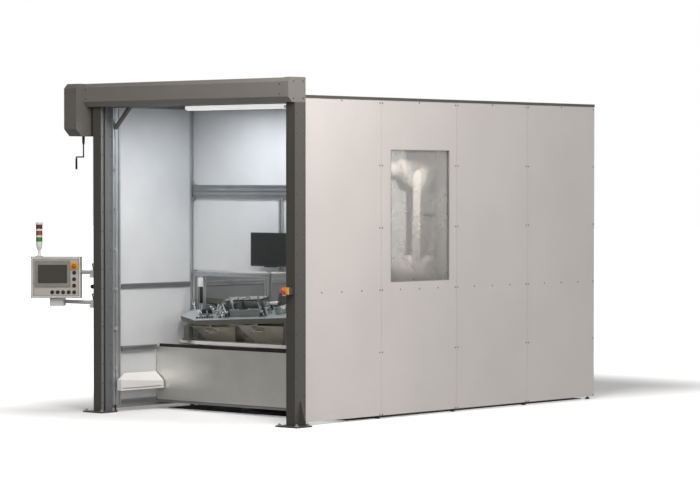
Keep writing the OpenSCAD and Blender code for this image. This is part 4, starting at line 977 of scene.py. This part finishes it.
hinge_low, hinge_high = corners("arm_hinge_blocks")
LEAD_RADIUS = 0.0048
LEAD_HEIGHTS = {"a": 0.996, "b": 1.259}
HINGE_OUT = 0.030
LEAD_ARC = ((0, -0.014), (-0.002, 0.012), (-0.009, 0.026), (-0.012, 0.036), (0.002, 0.034), (0.016, 0.024),
            (HINGE_OUT + 0.001, 0.012))
hinge_y = (hinge_low.y + hinge_high.y) / 2
for letter, height in LEAD_HEIGHTS.items():
    arc = [(hinge_high.x - HINGE_OUT + out, hinge_y, height + rise) for out, rise in LEAD_ARC]
    soft_tube("lead_sleeve_" + letter, arc, LEAD_RADIUS, black_rubber, "root")

# %% [markdown]
# ## Lock knob
# The knob that locks the door's cover is a long turned handle with a pointer line. It is spun from its half
# outline, and it stands for the plain packed one.

# %% Lock knob
KNOB_LONG = 0.092
knob_low, knob_high = corners("door_knob")
knob_mid = (knob_low + knob_high) / 2
bm = bmesh.new()
turned(bm, facing((knob_high.x, knob_mid.y, knob_mid.z), (-1, 0, 0)),
       [(0, 0), (0.011, 0), (0.011, 0.056), (0.0175, 0.060), (0.0185, 0.064), (0.0185, 0.083), (0.014, 0.091),
        (0, KNOB_LONG)], 28)
pointer = Matrix.Translation((knob_high.x - KNOB_LONG, knob_mid.y, knob_mid.z))
block(bm, pointer, (-0.0012, -0.0012, 0.004), (0.0, 0.0012, 0.013))
knob = finished("lock_knob", bm, black_plastic, "knob")
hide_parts("door_knob")

# %% [markdown]
# ## Divider switch
# The switch on the divider's end post has a white snap-on cover and a black plug body below it. The cover is
# a moulded lid that grips the box round its edges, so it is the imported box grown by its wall.

# %% Divider switch
SWITCH_LOW = Vector((-0.975, -0.0608, 1.074))
SWITCH_HIGH = Vector((-0.935, -0.0228, 1.151))
LID_WALL = 0.002
LID_DEEP = 0.012
PLUG_INSET = 0.012
bm = bmesh.new()
block(bm, WORLD, SWITCH_LOW - Vector((LID_WALL,) * 3),
      (SWITCH_HIGH.x + LID_WALL, SWITCH_HIGH.y - LID_DEEP, SWITCH_HIGH.z + LID_WALL), 0.002)
finished("switch_cover", bm, trim_plastic, "turntable")
bm = bmesh.new()
block(bm, WORLD, (SWITCH_LOW.x + PLUG_INSET, SWITCH_LOW.y + 0.006, SWITCH_LOW.z - 0.150),
      (SWITCH_HIGH.x - PLUG_INSET, SWITCH_HIGH.y, SWITCH_LOW.z - 0.0005), 0.003)
finished("switch_body", bm, black_plastic, "turntable")

# %% [markdown]
# ## Corner brackets
# T-slot framing is joined by die-cast corner brackets. They sit in the corners of the posts and the middle
# rail, above and below it, so their places come from the frame's own box. A bracket is two legs, two gussets
# and a screw, built once in its own frame and turned into each corner.

# %% Corner brackets
PROFILE = 0.045
BRACKET = 0.040
BRACKET_HALF = 0.018
LEG_THICK = 0.005
GUSSET_THICK = 0.0035
GUSSET_REACH = 0.022
MID_RAIL_Z = 1.866
MID_RAIL_BAND = 0.116
inner_x = corners("frame_rails")[1].x - PROFILE


def corner_bracket(bm, frame_matrix):
    """A die-cast angle with two gussets; local X and Z run along its two legs."""
    block(bm, frame_matrix, (0, -BRACKET_HALF, 0), (BRACKET, BRACKET_HALF, LEG_THICK), 0.001, 1)
    block(bm, frame_matrix, (0, -BRACKET_HALF, LEG_THICK), (LEG_THICK, BRACKET_HALF, BRACKET), 0.001, 1)
    for side in (-BRACKET_HALF, BRACKET_HALF - GUSSET_THICK):
        block(bm, frame_matrix, (LEG_THICK, side, LEG_THICK), (GUSSET_REACH, side + GUSSET_THICK, GUSSET_REACH))
    screw(bm, frame_matrix @ Matrix.Translation((0.024, 0, LEG_THICK)), 0.006, 0.004)


bm = bmesh.new()
for side in (-1, 1):
    for height, up in ((MID_RAIL_Z, -1), (MID_RAIL_Z + MID_RAIL_BAND, 1)):
        origin = (side * inner_x, -PROFILE / 4, height)
        corner_bracket(bm, local_frame(origin, (-side, 0, 0), (0, up * -side, 0), (0, 0, up)))
finished("corner_brackets", bm, zinc_steel, "root")

# %% [markdown]
# ## Table fittings
# The inclined top carries the workpiece fixtures. The blocks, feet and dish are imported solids, and this step
# adds what a fitter would bolt on: socket screws, rest pins with bright tips, rubber pads, spring plungers
# and side clamps. The top has its own frame: Y runs up the slope and Z stands on the plate.

# %% Table fittings
TOP_PITCH = math.radians(16)
TOP_ROLL = math.radians(3)
TABLE_EDGE_Y = -0.395
TABLE_EDGE_Z = 0.826
table_top = (Matrix.Translation((0, TABLE_EDGE_Y, TABLE_EDGE_Z)) @ Matrix.Rotation(-TOP_ROLL, 4, "Y")
             @ Matrix.Rotation(TOP_PITCH, 4, "X"))
HALF_TURN = Matrix.Rotation(math.pi, 4, "Z")


def on_top(x, y, z=0.0):
    """A place on the front station's plate, in millimetres."""
    return table_top @ Matrix.Translation((x * MM, y * MM, z * MM))


print("table top at", [round(v, 3) for v in table_top.translation])


def at_both(build, name, material):
    """Builds a set of fittings at the front station and, turned half a turn, at the rear one."""
    bm = bmesh.new()
    build(bm)
    half = bm.copy()
    bmesh.ops.transform(half, matrix=HALF_TURN, verts=half.verts)
    scrap = bpy.data.meshes.new("scrap")
    half.to_mesh(scrap)
    half.free()
    bm.from_mesh(scrap)
    bpy.data.meshes.remove(scrap)
    return finished(name, bm, material, "turntable")

# %% [markdown]
# ## Fixtures on the table
# Each kind of fitting is one function that fills a bmesh, and each kind is one object. Screws, pins and
# clamps are turned parts, so each is a half outline spun about its own axis. Their places are in millimetres
# on the plate, as a fitter would measure them from its middle.

# %% Fixtures
def cap_screw(bm, frame_matrix, radius, height):
    """A socket cap screw: a turned head with a round recess for its key."""
    turned(bm, frame_matrix, [(0, 0), (radius, 0), (radius, height * 0.9), (radius * 0.9, height),
                              (radius * 0.55, height), (radius * 0.5, height * 0.5), (0, height * 0.5)], 12)


JAW_TOP = 122
BLOCK_TOP = 62
RISER_TOP = 118
FOOT_TOP = 26


def fixture_screws(bm):
    """Socket screws on the blocks, the jaws, the riser and the bare plate."""
    for x in (-285, -200, -70, 30):
        cap_screw(bm, on_top(x, 76, BLOCK_TOP), 0.0065, 0.008)
    for x in (-425, -251, -194, 1):
        cap_screw(bm, on_top(x, 208, JAW_TOP), 0.0065, 0.008)
    for x, y in ((160, 276), (272, 276), (160, 316), (272, 316)):
        cap_screw(bm, on_top(x, y, RISER_TOP), 0.005, 0.006)
    for x in (-560, -510, 120, 150, 470, 620):
        cap_screw(bm, on_top(x, 40), 0.006, 0.007)


def rest_pins(bm):
    """Hardened pins that the workpiece rests on, and the tall locating post at the left."""
    for x, y in ((-720, 118), (-705, 250), (-520, 118), (-620, 110), (560, 120), (700, 200)):
        turned(bm, on_top(x, y, FOOT_TOP),
               [(0, 0), (0.007, 0), (0.007, 0.012), (0.0055, 0.020), (0.003, 0.026), (0, 0.028)], 16)
    for x in (-395, -300, -160, -60):
        turned(bm, on_top(x, 205, JAW_TOP + 10),
               [(0, 0), (0.006, 0), (0.006, 0.010), (0.003, 0.016), (0, 0.017)], 16)
    turned(bm, on_top(-962, 306),
           [(0, 0), (0.010, 0), (0.010, 0.034), (0.005, 0.040), (0.005, 0.048), (0.014, 0.054), (0.018, 0.066),
            (0.014, 0.078), (0, 0.082)], 20)


def clamp_tower(bm, x, y, lean, height):
    """A hook clamp: a turned column, an arm across its top and a screw that presses down."""
    post = on_top(x, y)
    turned(bm, post, [(0, 0), (0.016, 0), (0.016, 0.014), (0.011, 0.018), (0.011, height - 0.014),
                      (0.015, height - 0.010), (0.015, height), (0.010, height + 0.010), (0, height + 0.012)], 20)
    arm = post @ Matrix.Rotation(lean, 4, "Z") @ Matrix.Translation((0, 0, height - 0.026))
    block(bm, arm, (-0.012, -0.012, 0), (0.056, 0.012, 0.014), 0.003)
    turned(bm, arm @ Matrix.Translation((0.046, 0, -0.026)),
           [(0, 0), (0.008, 0), (0.009, 0.005), (0.006, 0.008), (0.006, 0.046), (0.012, 0.049), (0.012, 0.060),
            (0, 0.062)], 14)


# where each hook clamp stands, in millimetres, how far its arm is turned and how high it is
CLAMPS = ((-520, 92, 0.4, 0.074), (-478, 126, -0.3, 0.092), (-430, 84, 0.9, 0.070), (-392, 120, 2.6, 0.104),
          (98, 146, 2.8, 0.096), (126, 88, 1.7, 0.066), (-462, 60, 0.2, 0.040), (-330, 150, 1.2, 0.120))


def side_clamps(bm):
    """The hook clamps and three low plungers between them."""
    for x, y, lean, height in CLAMPS:
        clamp_tower(bm, x, y, lean, height)
    for x in (-496, -404, -372):
        turned(bm, on_top(x, 66),
               [(0, 0), (0.012, 0), (0.012, 0.020), (0.006, 0.024), (0.006, 0.036), (0, 0.040)], 14)


PAD_ROW = 11
PAD_START = -715
PAD_PITCH = 31.5


def black_pads(bm):
    """A long pad, a stop strip and a row of small square pads."""
    block(bm, on_top(0, 0), (-0.744, 0.160, 0.014), (-0.588, 0.202, 0.046), 0.004)
    block(bm, on_top(0, 0), (0.020, 0.2405, 0.0), (0.046, 0.2435, 0.050), 0.001, 1)
    for k in range(PAD_ROW):
        block(bm, on_top(PAD_START + k * PAD_PITCH, 66), (-0.008, -0.007, 0), (0.008, 0.007, 0.012), 0.001, 1)


def white_gauge(bm):
    """The folded white cover of the gauge: its top and its front."""
    block(bm, on_top(0, 0), (0.014, 0.2400, 0.0642), (0.120, 0.2695, 0.0700), 0.002)
    block(bm, on_top(0, 0), (0.014, 0.2385, 0.0510), (0.120, 0.2415, 0.0700), 0.001, 1)


JAW_PLATES = ((-300, -182, 64, 122, BLOCK_TOP), (-88, 46, 64, 122, BLOCK_TOP), (-440, -236, 172, 262, JAW_TOP),
              (-209, 16, 172, 262, JAW_TOP))


def jaw_plates(bm):
    """Ground plates, 4 mm thick, screwed on the blocks; their edges catch the light."""
    for low_x, high_x, low_y, high_y, top in JAW_PLATES:
        block(bm, on_top(0, 0, top), (low_x * MM, low_y * MM, 0.0), (high_x * MM, high_y * MM, 0.004), 0.0008, 1)

# %% [markdown]
# ## Both stations
# The turntable carries the same fixtures on both of its stations. A mirrored copy would be wrong, because
# the table turns: so each set is built at the front and copied by half a turn about the table's axis.

# %% Both stations
for build, name, material, slot in ((fixture_screws, "fixture_screws", zinc_steel, "ground_steel"),
                                    (rest_pins, "rest_pins", bright_steel, "clamp_steel"),
                                    (side_clamps, "side_clamps", bright_steel, "clamp_steel"),
                                    (black_pads, "rubber_pads", black_rubber, "black_plastic"),
                                    (white_gauge, "gauge_cover", white_plastic, "clip_plastic"),
                                    (jaw_plates, "jaw_plates", bright_steel, "clamp_steel")):
    at_both(build, name, material)

# %% [markdown]
# ## Tray lips
# Each tray is folded from brushed stainless sheet, with a bent lip under its finger slot. The lip is a short
# bar that stands just proud of the sloping front, and its edge is turned down so that it doesn't cut.

# %% Tray lips
CUP_OFFSET = -0.027
CUP_HALF = 0.067
CUP_SILL = 0.038
TRAY_TOE = 0.112
LIP_LEAN = Matrix.Rotation(math.radians(24), 4, "X")


def tray_lip(bm, low, high, turn):
    """A bent-out lip under the finger slot: a flat bar and its turned-down edge."""
    sill = high.z - CUP_SILL
    front = low.y + TRAY_TOE / (high.z - low.z) * CUP_SILL
    lip = turn @ Matrix.Translation(((low.x + high.x) / 2 + CUP_OFFSET, front, sill)) @ LIP_LEAN
    block(bm, lip, (-CUP_HALF, -0.019, -0.002), (CUP_HALF, 0.006, 0.0), 0.0008, 1)
    block(bm, lip, (-CUP_HALF, -0.021, -0.016), (CUP_HALF, -0.019, 0.0), 0.0008, 1)


rear_bm = bmesh.new()
for node in ("tray_left", "tray_middle", "tray_right"):
    bm = bmesh.new()
    tray_lip(bm, *corners(node), WORLD)
    finished(node + "_lip", bm, bright_steel, node)
    tray_lip(rear_bm, *corners(node), HALF_TURN)
finished("rear_tray_lips", rear_bm, bright_steel, "turntable")

# %% [markdown]
# ## Monitor
# The screen is a dark pane set in a narrow bezel, a touch lighter at its edge. It is a thin bevelled slab
# just behind the bezel's face, because a second surface in the same plane would flicker.

# %% Monitor
PANE_Y = corners("monitor")[0].y
PANE_HALF = 0.224
PANE_HEIGHTS = (1.290, 1.555)
bm = bmesh.new()
block(bm, WORLD, (-PANE_HALF, PANE_Y + 0.0008, PANE_HEIGHTS[0]),
      (PANE_HALF, PANE_Y + 0.0018, PANE_HEIGHTS[1]), 0.0004, 1)
finished("monitor_pane", bm, monitor_screen, "monitor")

# %% [markdown]
# ## Robot
# The robot is all castings with screwed covers. Each cover is held by a circle of socket screws, and the
# lower arm has a dark seam between its two halves. One screw is spun and set round each axis by a loop.

# %% Robot screws and covers
turret_low = corners("robot_turret")[0]
arm_low, arm_high = corners("robot_lower_arm")
SHOULDER = Vector((0, 1.750, 1.199))
ELBOW = Vector((0, 1.750, 2.029))
ROLL_Z = 2.109
WRIST_Y = 0.990
TURN_Y = 1.900


def bolt_circle(bm, place, radius, count, head, height):
    """A circle of cap screws about a frame's axis."""
    for k in range(count):
        turn = Matrix.Rotation(2 * math.pi * k / count, 4, "Z")
        cap_screw(bm, place @ turn @ Matrix.Translation((radius, 0, 0)), head, height)


bm = bmesh.new()
bolt_circle(bm, facing((arm_low.x + 0.110, SHOULDER.y, SHOULDER.z), (1, 0, 0)), 0.110, 12, 0.007, 0.010)
bolt_circle(bm, facing((arm_low.x + 0.100, ELBOW.y, ELBOW.z), (1, 0, 0)), 0.092, 10, 0.006, 0.009)
finished("robot_arm_screws", bm, zinc_steel, "robot_lower_arm")

SEAM_HALF = 0.075
bm = bmesh.new()
block(bm, WORLD, (arm_high.x - 0.048, SHOULDER.y - SEAM_HALF, 1.705),
      (arm_high.x - 0.030, SHOULDER.y + SEAM_HALF, 1.717), 0.001, 1)
finished("robot_arm_seam", bm, black_rubber, "robot_lower_arm")

bm = bmesh.new()
bolt_circle(bm, facing((turret_low.x + 0.040, SHOULDER.y, SHOULDER.z), (-1, 0, 0)), 0.10, 8, 0.006, 0.008)
bolt_circle(bm, Matrix.Translation((0, TURN_Y, 0.870)), 0.186, 16, 0.007, 0.008)
finished("robot_turret_screws", bm, zinc_steel, "robot_turret")

bm = bmesh.new()
bolt_circle(bm, facing((0, ELBOW.y + 0.150, ROLL_Z), (0, 1, 0)), 0.074, 8, 0.005, 0.006)
finished("robot_elbow_screws", bm, zinc_steel, "robot_elbow")

bm = bmesh.new()
for side in (-1, 1):
    turned(bm, facing((side * 0.088, WRIST_Y, ROLL_Z), (side, 0, 0)),
           [(0, 0), (0.052, 0), (0.052, 0.003), (0.046, 0.006), (0, 0.006)], 28)
finished("wrist_covers", bm, white_plastic, "robot_forearm")

# %% [markdown]
# ## Pedestal bolts
# The robot's base is bolted to its pedestal, and the pedestal to the floor, with large hexagon bolts at the
# four corners. The two rings of bolts differ only in their reach and height.

# %% Pedestal bolts
bm = bmesh.new()
for sx, sy in itertools.product((-1, 1), repeat=2):
    for reach, height in ((0.205, 0.590), (0.285, 0.028)):
        hex_bolt(bm, Matrix.Translation((sx * reach, TURN_Y + sy * reach, height)), 0.030, 0.014)
finished("pedestal_bolts", bm, zinc_steel, "root")

# %% [markdown]
# ## Laser head details
# The head ends in a turned copper nozzle with a through hole, because the gas and the beam share it. Its
# outline is closed, so the spin leaves a hollow cone. A short air hose beside the head is held at both
# ends, so its curve is set by its fittings and not by its weight.

# %% Laser head details
head_low, head_high = corners("laser_head")
HOSE_RADIUS = 0.004
HOSE_PATH = ((0.046, -0.110, -0.10), (0.052, -0.13, -0.07), (0.054, -0.10, -0.04), (0.052, -0.03, -0.03))
bm = bmesh.new()
turned(bm, Matrix.Translation((0, WRIST_Y, head_low.z)),
       [(0.0035, 0), (0.009, 0), (0.0195, 0.040), (0.0205, 0.041), (0.0205, 0.020), (0.0105, 0), (0.0035, 0)], 28)
finished("nozzle_tip", bm, copper, "laser_head")
soft_tube("head_hose_air", [(x, WRIST_Y + y, head_high.z + z) for x, y, z in HOSE_PATH], HOSE_RADIUS,
          black_rubber, "laser_head")

# %% [markdown]
# ## Studio
# The cell stands on white paper that fades into a white surround. A real studio would light the paper
# on its own, so that it burns out to white while the object keeps its shading. The same is done here: the eye
# sees bright paper, and the cell only receives the dimmer light that the lamps and the surround really give.

# %% Floor
SHADE_CENTRE = (-0.45, 1.70, 0.0)
SHADE_HALF = (0.85, 2.90, 1.0)
FADE = 2.2
NEAR_GLOW = 0.04
FAR_GLOW = 1.0
PAPER_HALF = 80.0


def studio_paper():
    """White paper that glows to the eye away from the machine, and is plain to every other ray."""
    material, tree, place = new_material("studio_paper")
    offset = add(tree, "VectorMath", {0: place, 1: SHADE_CENTRE}, operation="SUBTRACT").outputs[0]
    spread = add(tree, "VectorMath", {0: offset}, operation="ABSOLUTE").outputs[0]
    beyond = add(tree, "VectorMath", {0: spread, 1: SHADE_HALF}, operation="SUBTRACT").outputs[0]
    outside = add(tree, "VectorMath", {0: beyond, 1: (0.0, 0.0, 0.0)}, operation="MAXIMUM").outputs[0]
    away = add(tree, "VectorMath", {0: outside}, operation="LENGTH").outputs["Value"]
    glow = add(tree, "MapRange", {"Value": away, "From Min": 0.0, "From Max": FADE,
                                  "To Min": NEAR_GLOW, "To Max": FAR_GLOW},
               interpolation_type="SMOOTHSTEP")
    grain = add(tree, "TexNoise", {"Vector": place, "Scale": 0.5, "Detail": 2.0})
    colour = add(tree, "ValToRGB", {"Fac": grain.outputs["Fac"]}, [(0.3, "#f4f4f4"), (0.7, "#f8f8f8")]).outputs[0]
    paper = add(tree, "BsdfDiffuse", {"Color": colour})
    lit = add(tree, "Emission", {"Color": linear("#ffffff"), "Strength": glow.outputs["Result"]})
    seen = add(tree, "AddShader", {0: paper.outputs[0], 1: lit.outputs[0]})
    bounce = add(tree, "BsdfDiffuse", {"Color": linear("#b4b4b4")})
    ray = add(tree, "LightPath")
    both = add(tree, "MixShader", {0: ray.outputs["Is Camera Ray"], 1: bounce.outputs[0],
                                   2: seen.outputs[0]})
    add(tree, "OutputMaterial", {"Surface": both.outputs[0]})
    return material


bm = bmesh.new()
bmesh.ops.create_grid(bm, x_segments=2, y_segments=2, size=PAPER_HALF)
floor_mesh = bpy.data.meshes.new("floor")
bm.to_mesh(floor_mesh)
bm.free()
floor_mesh.materials.append(studio_paper())
floor = bpy.data.objects.new("floor", floor_mesh)
scene.collection.objects.link(floor)
print("floor", 2 * PAPER_HALF, "m wide")

# %% [markdown]
# ## Surround
# What a shiny or white machine shows is mostly the room around it. An environment map could be wrapped
# round the scene, but three plain strengths do it: a bright side, a dark side and a dim ceiling.

# %% Surround
DARK_SIDE = 0.02
BRIGHT_SIDE = 1.60
OVERHEAD = 0.29
BRIGHT_WAY = (0.665, 0.747, 0.0)


def studio_surround():
    """A room that is white at one side, dark at the other and dim overhead, but white where the eye looks."""
    world = bpy.data.worlds.new("studio")
    world.use_nodes = True
    tree = world.node_tree
    tree.nodes.clear()
    place = add(tree, "TexCoord").outputs["Generated"]
    height = add(tree, "SeparateXYZ", {0: place}).outputs["Z"]
    side = add(tree, "VectorMath", {0: place, 1: BRIGHT_WAY}, operation="DOT_PRODUCT").outputs["Value"]
    wall = add(tree, "MapRange", {"Value": side, "From Min": -1.0, "From Max": 1.0,
                                  "To Min": DARK_SIDE, "To Max": BRIGHT_SIDE}).outputs["Result"]
    sky = add(tree, "MapRange", {"Value": height, "From Min": 0.0, "From Max": 0.9,
                                 "To Min": wall, "To Max": OVERHEAD}).outputs["Result"]
    light = add(tree, "Background", {"Color": linear("#ffffff"), "Strength": sky})
    white = add(tree, "Background", {"Color": linear("#ffffff"), "Strength": 1.0})
    ray = add(tree, "LightPath")
    both = add(tree, "MixShader", {0: ray.outputs["Is Camera Ray"], 1: light.outputs[0],
                                   2: white.outputs[0]})
    add(tree, "OutputWorld", {"Surface": both.outputs[0]})
    return world


scene.world = studio_surround()
print("surround from", DARK_SIDE, "to", BRIGHT_SIDE)

# %% [markdown]
# ## Lights
# Two soft boxes light the outside: a large one in front and a smaller one at the right. Inside, one lamp hangs
# under the ceiling lamp's cover, and two fill the robot's bay. The lit cover alone would be too weak and
# too noisy, so a rectangular lamp of its size gives its light.

# %% Lights
def area_light(name, place, aim, size, power, tint="#ffffff"):
    """A rectangular lamp that looks from its place at a point."""
    lamp = bpy.data.lights.new(name, "AREA")
    lamp.shape = "RECTANGLE"
    lamp.size, lamp.size_y = size
    lamp.energy = power
    lamp.color = linear(tint)[:3]
    obj = bpy.data.objects.new(name, lamp)
    obj.location = place
    obj.rotation_euler = (Vector(aim) - Vector(place)).to_track_quat("-Z", "Y").to_euler()
    obj.visible_camera = False
    scene.collection.objects.link(obj)
    return obj


area_light("front_softbox", (1.5, -8.5, 6.5), (0.0, -1.0, 1.2), (5.0, 4.0), 214, "#fffcf8")
area_light("right_softbox", (3.4, -2.6, 4.6), (1.15, -0.9, 2.3), (1.6, 1.6), 155, "#fff8f2")
lamp_under = lamp_low.z - TROUGH_DEEP - 0.005
area_light("bay_lamp", (0.0, trough_y, lamp_under), (0.0, trough_y + 0.05, 0.0), (1.1, 0.08), 14, "#f3f8ff")
area_light("robot_bay_lamp", (0.35, 0.9, 2.35), (-0.2, 1.9, 1.3), (0.5, 0.5), 32, "#fffcf8")
area_light("corner_lamp", (-0.1, 2.45, 1.8), (-1.1, 2.75, 1.4), (0.5, 0.8), 26, "#fffcf8")
scene.view_settings.view_transform = "Standard"
